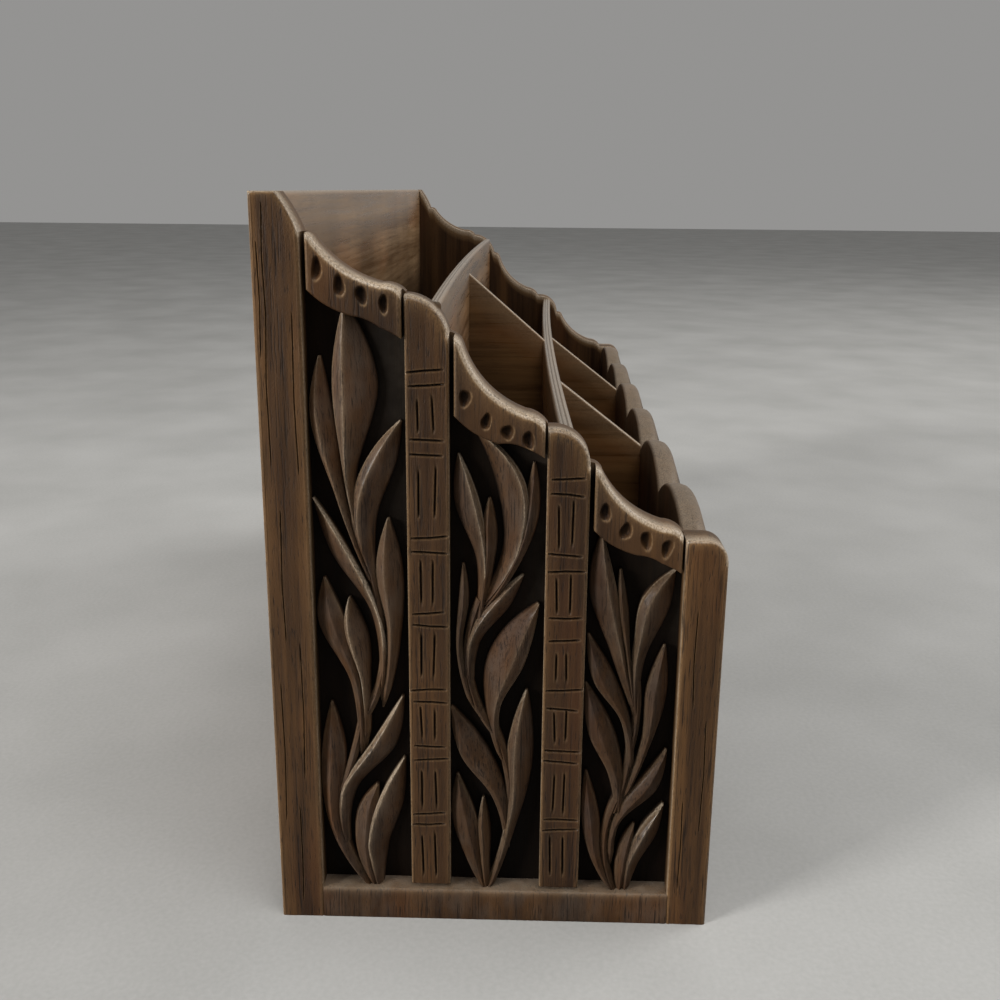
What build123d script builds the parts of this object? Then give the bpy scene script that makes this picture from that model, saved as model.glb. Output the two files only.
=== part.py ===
from build123d import *
import os
from math import cos, pi, sin, sqrt

# Desk letter holder with carved ends, a scalloped front, two dividers and three partitions.
# Millimetres. +Z is up, the front faces -Y, and the origin is on the floor under the middle.
# An end is drawn as seen from outside: u runs from its back edge to its front edge and v runs up.
# The front is drawn as seen from the front: u runs from left to right and v runs up.

# Overall size, outside
length = 266.0
depth = 84.0
back_height = 139.5

# Boards
end_board_thickness = 3.4
back_thickness = 4.2
front_thickness = 7.3
base_thickness = 5.0
housing_depth = 1.2
housing_fit = 0.1

# Uprights and rail of an end. A post's share is of the rise from the front's height to the back's.
rear_stile_width = 8.3
post_width = 7.7
front_stile_width = 7.8
front_height = 81.6
rear_post_share = 0.715
front_post_share = 0.33
front_stile_drop = 2.0
upright_levels = (4.6, 0.8, 0.8, 4.0)
shoulder_falls = (6.6, 6.6, 6.6, 4.0)
shoulder_bulges = (0.3, 1.4, 1.4, 1.1)
carving_height = 4.6
post_height = 3.5
rail_height = 6.5

# Caps over the leaf bays of an end. The knob's and nose's shares are of the fall of a cap's top.
cap_height = 4.2
cap_rear_gap = 0.9
cap_front_gap = 0.5
cap_step = 0.3
cap_front_depth = 7.4
cap_lower_fall = 8.6
knob_length = 2.4
knob_share = 0.14
knob_bulge = 0.5
nose_length = 4.0
nose_share = 0.19
nose_bulge = 0.5
hollow_share = 0.16
wave_middle = (0.5, 0.33)
wave_hollow = 0.6
wave_bulge = 0.25
dimple_count = 4
dimple_first = 0.16
dimple_spacing = 0.215
dimple_width = 1.8
dimple_length = 2.8
dimple_depth = 1.0
dimple_sides = 8

# Leaf sprays
spray_clearance = 0.3
leaf_crest = 3.6
leaf_tip_crest = 1.7
leaf_edge_share = 0.6
leaf_tip_half_width = 0.25
stem_half_width = 0.9
leaf_stations = (0.0, 0.26, 0.52, 0.78, 1.0)
stem_stations = (0.0, 0.5, 1.0)

# Scalloped front
scallop_count = 6
scallop_rise = 6.0
scallop_round = 4.2
front_carving_height = 4.0
front_band_depth = 8.5
front_post_width = 7.7

# Dividers and partitions
divider_bow = 1.5
rear_divider_from_back = 30.7
rear_divider_thickness = 2.2
rear_divider_drop = 2.0
front_divider_from_back = 54.6
front_divider_thickness = 2.8
front_divider_drop = 2.7
partition_thickness = 2.0
partition_rear_drop = 4.2
partition_front_drop = 0.4

# Places that follow from the sizes above
inner_length = length - 2 * (end_board_thickness + carving_height)
back_inner_y = depth / 2 - back_thickness
front_inner_y = -depth / 2 + front_thickness
bay_width = (depth - rear_stile_width - front_stile_width - 2 * post_width) / 3
upright_widths = [rear_stile_width, post_width, post_width, front_stile_width]
rear_post_top = front_height + rear_post_share * (back_height - front_height)
front_post_top = front_height + front_post_share * (back_height - front_height)
front_stile_top = front_height - front_stile_drop
upright_tops = [back_height, rear_post_top, front_post_top, front_stile_top]
rear_divider_top = rear_post_top - rear_divider_drop
front_divider_top = front_post_top - front_divider_drop
upright_starts = [sum(upright_widths[:i]) + i * bay_width for i in range(4)]
upright_ends = [start + width for start, width in zip(upright_starts, upright_widths)]
scallop_pitch = inner_length / scallop_count
scallop_radius = ((scallop_pitch / 2) ** 2 + scallop_rise**2) / (2 * scallop_rise)
left_end = Plane((-length / 2 + carving_height, depth / 2, 0), x_dir=(0, -1, 0), z_dir=(-1, 0, 0))
front_ground = Plane((0, -depth / 2 + front_carving_height, 0), x_dir=(1, 0, 0), z_dir=(0, -1, 0))

# Sprays, drawn from the lower rear corner of a bay of the size given. A stem is its foot, a point on
# its way and its tip. A leaf is its foot, two points up its left edge, its tip, two points down its
# right edge, and its ridge: 1 on the left edge, -1 on the right. Feet are trimmed at the rail.
end_spray_width = 17.5
rear_spray_height = 113.4
rear_stems = [
    ((4.1, 20.5), (6.9, 29.5), (9.0, 39.5)),
    ((8.7, 36.0), (11.1, 41.0), (12.7, 49.0)),
    ((12.3, 54.0), (11.4, 62.0), (9.2, 71.0)),
]
rear_leaves = [
    ((9.0, -0.5), (1.9, 10.5), (-0.1, 24.5), (2.4, 38.8), (4.8, 30.5), (4.1, 13.5), 0.1),
    ((10.1, -0.5), (6.2, 9.5), (7.3, 17.3), (10.9, 21.4), (11.3, 16.5), (10.7, 6.5), 0.0),
    ((10.9, -0.5), (8.9, 10.0), (11.7, 19.8), (16.3, 27.2), (16.1, 18.0), (12.9, 8.0), 0.8),
    ((4.5, 10.0), (3.9, 20.5), (10.3, 31.3), (16.1, 40.2), (15.0, 30.5), (6.7, 19.8), 0.7),
    ((8.1, 31.0), (6.3, 42.5), (0.1, 57.5), (1.8, 64.0), (5.1, 57.1), (8.9, 42.0), -0.2),
    ((9.0, 33.0), (8.4, 43.0), (5.3, 55.5), (6.4, 60.1), (9.6, 53.8), (10.1, 42.5), 0.6),
    ((12.3, 43.5), (10.3, 56.8), (2.7, 69.5), (0.2, 79.3), (5.7, 71.5), (12.7, 55.0), -0.8),
    ((13.1, 42.0), (13.3, 54.0), (11.5, 66.5), (13.9, 75.6), (16.3, 67.5), (15.9, 52.0), 0.35),
    ((10.5, 64.5), (4.5, 80.0), (0.3, 97.0), (2.3, 105.2), (4.7, 94.5), (6.7, 79.5), 0.4),
    ((10.6, 65.5), (5.7, 87.0), (4.6, 103.5), (7.0, 114.5), (12.4, 102.0), (8.3, 82.0), 0.5),
    ((10.7, 65.5), (7.7, 80.5), (11.3, 88.5), (16.5, 93.8), (15.9, 87.5), (11.9, 76.0), 0.45),
]
middle_spray_height = 91.1
middle_stems = [
    ((11.1, 12.5), (11.0, 25.5), (8.2, 34.5)),
    ((8.7, 33.0), (4.9, 39.5), (3.2, 47.5)),
    ((3.1, 43.5), (3.4, 52.0), (5.6, 60.5)),
]
middle_leaves = [
    ((6.7, -0.5), (2.7, 6.1), (0.0, 16.0), (1.3, 24.0), (4.8, 16.0), (6.7, 5.0), -0.2),
    ((7.0, -0.5), (5.7, 6.0), (5.3, 14.0), (6.4, 19.0), (7.8, 13.0), (7.8, 5.0), 0.3),
    ((11.0, 12.0), (8.1, 19.3), (1.7, 28.7), (0.1, 38.4), (4.7, 33.8), (9.9, 24.0), 0.2),
    ((7.6, -0.5), (11.2, 19.0), (11.0, 31.0), (14.5, 42.0), (16.0, 28.5), (12.4, 11.3), 0.45),
    ((9.7, 29.0), (6.5, 38.8), (6.8, 48.5), (16.4, 59.6), (13.9, 47.5), (9.4, 38.0), -0.35),
    ((3.9, 40.5), (1.1, 50.0), (1.4, 59.5), (2.4, 67.2), (3.5, 61.5), (2.4, 51.0), 0.0),
    ((3.7, 45.0), (4.5, 56.1), (8.8, 61.8), (13.5, 65.1), (11.7, 59.8), (5.5, 51.2), 0.5),
    ((5.1, 55.5), (4.8, 67.5), (0.5, 80.0), (1.5, 88.0), (5.2, 79.8), (6.9, 67.5), -0.6),
    ((5.3, 55.5), (5.9, 67.5), (5.9, 75.5), (7.2, 79.8), (8.7, 73.5), (7.8, 65.3), 0.2),
    ((6.5, 59.0), (11.8, 71.0), (13.7, 81.0), (15.2, 86.5), (16.4, 79.0), (11.9, 65.5), 0.1),
    ((6.1, 59.5), (9.6, 71.5), (8.5, 81.5), (4.5, 92.4), (13.3, 83.7), (11.5, 66.3), -0.7),
]
front_spray_height = 70.0
front_stems = [
    ((7.1, -0.5), (4.9, 9.0), (7.2, 20.0)),
    ((6.6, 17.0), (8.6, 25.0), (9.5, 33.5)),
    ((9.3, 30.5), (10.2, 37.5), (9.9, 44.5)),
]
front_leaves = [
    ((6.9, -0.5), (2.3, 6.5), (0.2, 15.5), (1.0, 25.2), (3.8, 16.3), (4.7, 6.5), 0.0),
    ((8.2, -0.5), (7.1, 4.5), (8.3, 10.8), (10.7, 14.0), (10.7, 10.5), (9.9, 4.0), 0.0),
    ((9.3, -0.5), (9.1, 7.0), (11.6, 12.8), (16.3, 18.4), (15.6, 12.3), (11.7, 4.3), 0.5),
    ((6.2, 8.0), (7.3, 18.0), (12.1, 24.8), (16.3, 30.2), (15.3, 22.3), (7.7, 13.4), 0.2),
    ((7.5, 17.0), (5.3, 24.5), (1.1, 33.5), (0.4, 43.8), (5.9, 35.0), (8.2, 25.0), 0.1),
    ((9.3, 27.5), (7.3, 36.0), (1.6, 44.8), (0.6, 53.7), (5.0, 47.2), (9.3, 36.0), 0.2),
    ((8.9, 21.5), (11.2, 32.0), (12.0, 44.5), (15.0, 51.8), (15.9, 43.5), (12.3, 28.3), 0.2),
    ((9.4, 40.0), (4.8, 50.1), (0.3, 64.0), (2.5, 73.4), (5.2, 64.5), (8.0, 49.0), -0.4),
    ((9.5, 40.0), (7.6, 49.5), (5.7, 60.5), (6.2, 66.6), (7.8, 60.0), (8.7, 49.5), 0.2),
    ((9.9, 38.5), (9.0, 52.0), (10.8, 62.0), (16.3, 66.7), (15.8, 60.0), (11.5, 48.8), 0.45),
]

# A spray on the front, drawn from the middle of its foot: its stem and middle leaf, and the leaves to
# the right of them
front_panel_spray_width = 34.0
front_panel_spray_height = 66.0
front_panel_stem = ((0.0, -1.0), (0.0, 18.0), (0.0, 36.0))
front_panel_middle = ((0.0, 34.0), (-2.5, 43.0), (-3.4, 53.0), (0.0, 62.0), (3.4, 53.0), (2.5, 43.0), 0.0)
front_panel_half = [
    ((0.0, 2.0), (5.4, 7.4), (9.3, 11.9), (15.0, 17.0), (12.9, 9.3), (8.1, 4.2), 0.2),
    ((0.0, 12.0), (4.5, 20.3), (8.8, 26.0), (15.0, 31.0), (12.6, 23.4), (7.9, 17.5), 0.2),
    ((0.0, 23.0), (4.7, 30.9), (8.6, 37.5), (14.5, 45.0), (13.2, 35.1), (8.5, 27.9), 0.2),
    ((0.0, 33.0), (2.0, 42.2), (4.3, 49.7), (9.0, 58.0), (9.1, 48.3), (6.2, 40.4), 0.2),
]


def block(low, high):
    """A board from its lowest to its highest corner."""
    size = [b - a for a, b in zip(low, high)]
    middle = [(a + b) / 2 for a, b in zip(low, high)]
    return Pos(*middle) * Box(*size)


def strip(start, end, bottom, top):
    """A flat rectangle from start to end across and from bottom to top."""
    return Pos((start + end) / 2, (bottom + top) / 2) * Rectangle(end - start, top - bottom)


# Outline of an end


def upright_top(i):
    """Top of one upright: level, then a rounded shoulder down to its front edge."""
    top = upright_tops[i]
    turn = (upright_starts[i] + upright_levels[i], top)
    level = Line((upright_starts[i], top), turn)
    shoulder = SagittaArc(turn, (upright_ends[i], top - shoulder_falls[i]), shoulder_bulges[i])
    return [level, shoulder]


def cap_top(i):
    """Top of one cap: a knob below the upright behind it, a hollow, then a rounded nose."""
    start = (upright_ends[i], upright_tops[i] - shoulder_falls[i])
    end = (upright_starts[i + 1], upright_tops[i + 1] + cap_step)
    fall = start[1] - end[1]
    knob_end = (start[0] + knob_length, start[1] - knob_share * fall)
    nose_start = (end[0] - nose_length, end[1] + nose_share * fall)
    hollow = hollow_share * (knob_end[1] - nose_start[1])
    return [
        SagittaArc(start, knob_end, knob_bulge),
        SagittaArc(knob_end, nose_start, -hollow),
        SagittaArc(nose_start, end, nose_bulge),
    ]


def cap_bottom(i, clearance=0.0):
    """Lower edge of one cap, a shallow wave that falls towards the front."""
    start_u = upright_ends[i]
    end_v = upright_tops[i + 1] - cap_front_depth - clearance
    start = (start_u, end_v + cap_lower_fall)
    middle = (start_u + wave_middle[0] * bay_width, end_v + wave_middle[1] * cap_lower_fall)
    end = (start_u + bay_width, end_v)
    return [SagittaArc(start, middle, -wave_hollow), SagittaArc(middle, end, wave_bulge)]


def bay_height(i):
    """Height of a leaf bay from the rail to the middle of its cap's lower edge."""
    rear, front = cap_bottom(i)
    return ((rear @ 0).Y + (front @ 1).Y) / 2 - rail_height


def face_above(edges, bottom):
    """The face between a chain of edges and a level line below it."""
    first = edges[0] @ 0
    last = edges[-1] @ 1
    down = Line(last, (last.X, bottom))
    back = Line((last.X, bottom), (first.X, bottom))
    up = Line((first.X, bottom), first)
    return make_face(edges + [down, back, up])


def end_outline():
    """An end's whole outline, with a small step down from each cap to the upright in front of it."""
    chain = upright_top(0)
    for i in range(3):
        chain += cap_top(i)
        step = Line(chain[-1] @ 1, (upright_starts[i + 1], upright_tops[i + 1]))
        chain += [step] + upright_top(i + 1)
    return face_above(chain, 0)


def cap_outline(i):
    """One cap between its two edges, with an open joint at each end."""
    above = face_above(cap_top(i), rail_height)
    below = face_above(cap_bottom(i), rail_height)
    start = upright_ends[i] + cap_rear_gap
    end = upright_starts[i + 1] - cap_front_gap
    return (above - below) & strip(start, end, 0, back_height)


def dimple():
    """A long dimple, its rim cut with a few straight strokes on an oval."""
    turns = [2 * pi * n / dimple_sides for n in range(dimple_sides)]
    rim = [(dimple_width / 2 * cos(turn), dimple_length / 2 * sin(turn)) for turn in turns]
    return Polygon(*rim, align=None)


# Leaf sprays


def facet(*corners):
    """A flat face through the given corners."""
    return Face(Wire.make_polygon(corners))


def across(start, end):
    """The direction to the left of the way from one point to another."""
    way = (end - start).normalized()
    return Vector(-way.Y, way.X, 0)


def blade(left_points, right_points, ridge, tip_crest, stations):
    """A leaf or stem between two curved edges: five-sided sections, joined by flat facets."""
    left = Spline(*left_points)
    right = Spline(*right_points)
    sections = []
    for t in stations:
        high_edge = left @ t
        low_edge = right @ t
        crest = leaf_crest + (tip_crest - leaf_crest) * t**2
        rise = Vector(0, 0, crest * leaf_edge_share)
        top = low_edge + (high_edge - low_edge) * ((1 + ridge) / 2) + Vector(0, 0, crest)
        sections.append([low_edge, high_edge, high_edge + rise, top, low_edge + rise])
    skin = [facet(*sections[0]), facet(*sections[-1])]
    for near, far in zip(sections, sections[1:]):
        for i in range(len(near)):
            skin.append(facet(near[i - 1], near[i], far[i]))
            skin.append(facet(near[i - 1], far[i], far[i - 1]))
    return Solid(Shell(skin))


def leaf(foot, left_low, left_high, tip, right_high, right_low, ridge):
    """One leaf, as wide as a stem at its foot and sinking towards its narrow tip."""
    foot_side = across(foot, (left_low + right_low) / 2) * stem_half_width
    tip_side = across((left_high + right_high) / 2, tip) * leaf_tip_half_width
    left_points = [foot + foot_side, left_low, left_high, tip + tip_side]
    right_points = [foot - foot_side, right_low, right_high, tip - tip_side]
    return blade(left_points, right_points, ridge, leaf_tip_crest, leaf_stations)


def stem(foot, way, tip):
    """One stem of even width and height."""
    sides = [across(foot, way), across(foot, tip), across(way, tip)]
    places = list(zip((foot, way, tip), sides))
    left_points = [place + side * stem_half_width for place, side in places]
    right_points = [place - side * stem_half_width for place, side in places]
    return blade(left_points, right_points, 0, leaf_crest, stem_stations)


def spray(stems, leaves, stretch_u, stretch_v):
    """All stems and leaves of a spray as one carved piece, stretched to its bay."""

    def stretched(points):
        return [Vector(u * stretch_u, v * stretch_v) for u, v in points]

    blades = [stem(*stretched(points)) for points in stems]
    for *points, ridge in leaves:
        blades.append(leaf(*stretched(points), ridge))
    return Part() + blades


def end_spray(i, stems, leaves, drawn_height):
    """A spray in one bay of an end, kept clear of the uprights and the cap."""
    ground = face_above(cap_bottom(i, spray_clearance), rail_height)
    start = upright_ends[i] + spray_clearance
    end = upright_starts[i + 1] - spray_clearance
    room = extrude(ground & strip(start, end, 0, back_height), carving_height)
    carved = spray(stems, leaves, bay_width / end_spray_width, bay_height(i) / drawn_height)
    return (Pos(upright_ends[i], rail_height) * carved) & room


# Boards between the ends


def board(y_low, y_high, top, grow=0.0):
    """A flat board from one end's housing to the other's, standing on the floor."""
    half = inner_length / 2 + housing_depth - housing_fit + grow
    return block((-half, y_low - grow, -grow), (half, y_high + grow, top + grow))


def divider(from_back, thickness, top, grow=0.0):
    """A thin upright board on the base, bowed a little towards the back."""
    half = inner_length / 2 + housing_depth - housing_fit + grow
    y = depth / 2 - from_back
    side = thickness / 2 + grow
    rear = ThreePointArc((-half, y + side), (0, y + divider_bow + side), (half, y + side))
    front = ThreePointArc((-half, y - side), (0, y + divider_bow - side), (half, y - side))
    plan = make_face([rear, front, Line(rear @ 0, front @ 0), Line(rear @ 1, front @ 1)])
    foot = base_thickness - grow
    return extrude(Pos(0, 0, foot) * plan, top + grow - foot, dir=(0, 0, 1))


def partition(x, rear_y, rear_top, front_y, front_top, neighbours):
    """A thin board on the base whose top slopes forward, cut to fit the boards it meets."""
    outline = Polyline(
        (rear_y, base_thickness),
        (front_y, base_thickness),
        (front_y, front_top),
        (rear_y, rear_top),
        close=True,
    )
    face = Plane((x - partition_thickness / 2, 0, 0), x_dir=(0, 1, 0), z_dir=(1, 0, 0)) * make_face(outline)
    piece = extrude(face, partition_thickness, dir=(1, 0, 0))
    for neighbour in neighbours:
        piece -= neighbour
    return piece


# Scalloped front


def front_lobe(k):
    """One scallop of the front, full height, with its outer top edge rounded over."""
    start = -inner_length / 2 + k * scallop_pitch
    end = start + scallop_pitch
    notch = front_height - scallop_rise
    arc = ThreePointArc((start, notch), ((start + end) / 2, front_height), (end, notch))
    inner = Plane((0, front_inner_y, 0), x_dir=(1, 0, 0), z_dir=(0, -1, 0))
    lobe = extrude(inner * face_above([arc], 0), front_thickness, dir=(0, -1, 0))
    rim = lobe.edges().filter_by(GeomType.CIRCLE).sort_by(Axis.Y)[0]
    return fillet(rim, scallop_round)


def front_bay(k, clearance=0.0):
    """The arched recess below one scallop, between two uprights of the front and above its rail."""
    middle = -inner_length / 2 + (k + 0.5) * scallop_pitch
    half = (scallop_pitch - front_post_width) / 2 - clearance
    radius = scallop_radius - front_band_depth - clearance
    centre = front_height - scallop_radius
    spring = centre + sqrt(radius**2 - half**2)
    arch = ThreePointArc((middle - half, spring), (middle, centre + radius), (middle + half, spring))
    return face_above([arch], rail_height)


def front_panel_spray(k):
    """A spray in one recess of the front: a middle leaf and matching leaves on both sides."""
    left_half = []
    for *points, ridge in front_panel_half:
        foot, left_low, left_high, tip, right_high, right_low = [(-u, v) for u, v in points]
        left_half.append((foot, right_low, right_high, tip, left_high, left_low, -ridge))
    wide = scallop_pitch - front_post_width
    high = front_height - front_band_depth - rail_height
    leaves = [front_panel_middle] + front_panel_half + left_half
    stretch = (wide / front_panel_spray_width, high / front_panel_spray_height)
    carved = spray([front_panel_stem], leaves, *stretch)
    middle = -inner_length / 2 + (k + 0.5) * scallop_pitch
    room = extrude(front_bay(k, spray_clearance), front_carving_height)
    return front_ground * ((Pos(middle, rail_height) * carved) & room)


parts = {}

# Boards
parts["base_board"] = board(front_inner_y, back_inner_y, base_thickness)
parts["back_panel"] = board(back_inner_y, depth / 2, back_height)
rear_sizes = (rear_divider_from_back, rear_divider_thickness, rear_divider_top)
front_sizes = (front_divider_from_back, front_divider_thickness, front_divider_top)
rear_divider = divider(*rear_sizes)
front_divider = divider(*front_sizes)
parts["rear_divider"] = rear_divider
parts["front_divider"] = front_divider

# Front panel: six scallops in a row, tongues at both ends and a recess under each scallop
panel = board(-depth / 2, front_inner_y, front_height - scallop_rise - scallop_round)
for k in range(scallop_count):
    panel += front_lobe(k)
for k in range(scallop_count):
    panel -= extrude(front_ground * front_bay(k), front_carving_height)
parts["front_panel"] = panel
for k in range(scallop_count):
    parts[f"front_panel_spray_{k + 1}"] = front_panel_spray(k)

# Partitions
rear_y = depth / 2 - rear_divider_from_back + divider_bow
front_y = depth / 2 - front_divider_from_back + divider_bow
parts["centre_partition"] = partition(
    0,
    rear_y,
    rear_divider_top - partition_rear_drop,
    front_y,
    front_divider_top - partition_front_drop,
    [rear_divider, front_divider],
)
for name, side in (("left", -1), ("right", 1)):
    parts[f"front_partition_{name}"] = partition(
        side * scallop_pitch,
        front_y,
        front_divider_top - partition_rear_drop,
        front_inner_y,
        front_height - scallop_rise + partition_front_drop,
        [front_divider],
    )

# The left end, and the right end as its mirror image
end_pieces = {}
end_board = extrude(left_end * end_outline(), -end_board_thickness)
end_board -= board(front_inner_y, back_inner_y, base_thickness, housing_fit)
end_board -= board(back_inner_y, depth / 2, back_height, housing_fit)
end_board -= board(-depth / 2, front_inner_y, front_height - scallop_rise - scallop_round, housing_fit)
end_board -= divider(*rear_sizes, housing_fit)
end_board -= divider(*front_sizes, housing_fit)
end_pieces["end_board"] = end_board
for i, name in ((0, "rear_stile"), (3, "front_stile")):
    upright = face_above(upright_top(i), 0)
    end_pieces[name] = extrude(left_end * upright, carving_height)
for i, name in ((1, "rear_bamboo_post"), (2, "front_bamboo_post")):
    upright = face_above(upright_top(i), rail_height)
    end_pieces[name] = extrude(left_end * upright, post_height)
rail = strip(upright_ends[0], upright_starts[3], 0, rail_height)
end_pieces["bottom_rail"] = extrude(left_end * rail, carving_height)
sprays = [
    ("rear", rear_stems, rear_leaves, rear_spray_height),
    ("middle", middle_stems, middle_leaves, middle_spray_height),
    ("front", front_stems, front_leaves, front_spray_height),
]
for i, (name, stems, leaves, drawn_height) in enumerate(sprays):
    cap = extrude(cap_outline(i), cap_height)
    top_wire = Wire(cap_top(i))
    bottom_wire = Wire(cap_bottom(i))
    for n in range(dimple_count):
        share = dimple_first + n * dimple_spacing
        place = (top_wire @ share + bottom_wire @ share) / 2
        cap -= extrude(Pos(place.X, place.Y, cap_height) * dimple(), -dimple_depth)
    end_pieces[f"{name}_cap"] = left_end * cap
    end_pieces[f"{name}_leaf_spray"] = left_end * end_spray(i, stems, leaves, drawn_height)
for name, piece in end_pieces.items():
    parts[f"{name}_left"] = piece
    parts[f"{name}_right"] = mirror(piece, about=Plane.YZ)

os.makedirs("parts", exist_ok=True)
for name, piece in parts.items():
    export_step(piece, f"parts/{name}.step")
    print(name, len(piece.solids()), "solid", round(piece.volume, 1), "mm3")
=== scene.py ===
import math

import bmesh
import bpy
import numpy as np
from mathutils import Matrix, Vector


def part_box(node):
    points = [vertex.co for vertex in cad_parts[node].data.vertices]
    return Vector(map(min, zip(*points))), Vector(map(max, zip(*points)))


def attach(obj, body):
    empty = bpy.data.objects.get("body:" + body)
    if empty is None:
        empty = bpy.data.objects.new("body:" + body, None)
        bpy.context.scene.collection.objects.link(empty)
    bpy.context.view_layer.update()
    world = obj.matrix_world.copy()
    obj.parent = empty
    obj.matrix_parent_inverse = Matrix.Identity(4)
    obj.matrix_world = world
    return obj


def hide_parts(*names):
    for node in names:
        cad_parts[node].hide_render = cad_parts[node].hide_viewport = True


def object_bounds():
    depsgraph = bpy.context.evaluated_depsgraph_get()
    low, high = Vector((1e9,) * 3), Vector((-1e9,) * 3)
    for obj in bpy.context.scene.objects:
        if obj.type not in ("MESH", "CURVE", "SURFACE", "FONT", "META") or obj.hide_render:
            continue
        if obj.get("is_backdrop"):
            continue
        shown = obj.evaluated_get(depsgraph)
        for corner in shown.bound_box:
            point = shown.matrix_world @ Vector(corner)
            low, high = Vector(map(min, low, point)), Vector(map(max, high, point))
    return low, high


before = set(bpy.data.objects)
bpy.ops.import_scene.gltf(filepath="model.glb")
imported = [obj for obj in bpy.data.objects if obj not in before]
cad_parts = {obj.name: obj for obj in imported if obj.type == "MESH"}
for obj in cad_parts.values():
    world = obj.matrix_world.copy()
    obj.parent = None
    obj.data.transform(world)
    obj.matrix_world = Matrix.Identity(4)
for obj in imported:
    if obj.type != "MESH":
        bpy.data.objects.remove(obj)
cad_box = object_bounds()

# Base board
# A plain wooden floor let in between the four walls and glued in their housings.
# Only its top shows, deep in the compartments, so the board keeps its own solid.
panel_dark = (0.1, 0.046, 0.0155)
panel_light = (0.245, 0.125, 0.047)
panel_worn = (0.36, 0.27, 0.18)


def node(tree, kind, inputs=None, **settings):
    """A shader node with its settings, and with its inputs set or linked by name or number."""
    made = tree.nodes.new(kind)
    for name, value in settings.items():
        setattr(made, name, value)
    for name, value in (inputs or {}).items():
        if isinstance(value, bpy.types.NodeSocket):
            tree.links.new(value, made.inputs[name])
        else:
            made.inputs[name].default_value = value
    return made


def grain_noise(tree, stretch, detail=3.0, shift=(0, 0, 0)):
    """Noise drawn out along the grain: stretch is the number of features per metre on each axis."""
    place = node(tree, "ShaderNodeTexCoord").outputs["Object"]
    drawn = node(tree, "ShaderNodeMapping", {"Vector": place, "Scale": stretch, "Location": shift})
    noise = node(tree, "ShaderNodeTexNoise", {"Vector": drawn.outputs[0], "Scale": 1.0, "Detail": detail})
    return noise.outputs["Fac"]


def between(tree, value, low, high, bottom=0.0, top=1.0):
    """Maps a value from low..high to bottom..top, and holds it there outside that range."""
    span = {"Value": value, 1: low, 2: high, 3: bottom, 4: top}
    return node(tree, "ShaderNodeMapRange", span, clamp=True).outputs[0]


def times(tree, first, second):
    """The product of two values."""
    return node(tree, "ShaderNodeMath", {0: first, 1: second}, operation="MULTIPLY").outputs[0]


def plus(tree, first, second):
    """The sum of two values."""
    return node(tree, "ShaderNodeMath", {0: first, 1: second}, operation="ADD").outputs[0]


def blend_colour(tree, share, first, second):
    """Goes from the first colour to the second one by a share from 0 to 1."""
    mixed = node(tree, "ShaderNodeMix", {0: share}, data_type="RGBA")
    for slot, colour in ((6, first), (7, second)):
        if isinstance(colour, bpy.types.NodeSocket):
            tree.links.new(colour, mixed.inputs[slot])
        else:
            mixed.inputs[slot].default_value = (*colour, 1.0)
    return mixed.outputs[2]


def painted(tree, name):
    """The share that a piece's mesh holds under this name, from 0 to 1."""
    return node(tree, "ShaderNodeAttribute", attribute_name=name).outputs["Fac"]


# Pale colour of the painted highlight on the most rubbed edges.
highlight_pale = (0.56, 0.47, 0.36)
bloom_grey = (0.1, 0.083, 0.069)
# Near black of the painted shade in low places, and of grime.
grime_and_shade_black = (0.0036, 0.0032, 0.0029)
# Grey of dust, and of a painted lit patch on the end's ground.
dust_and_light_grey = (0.34, 0.29, 0.23)


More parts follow.
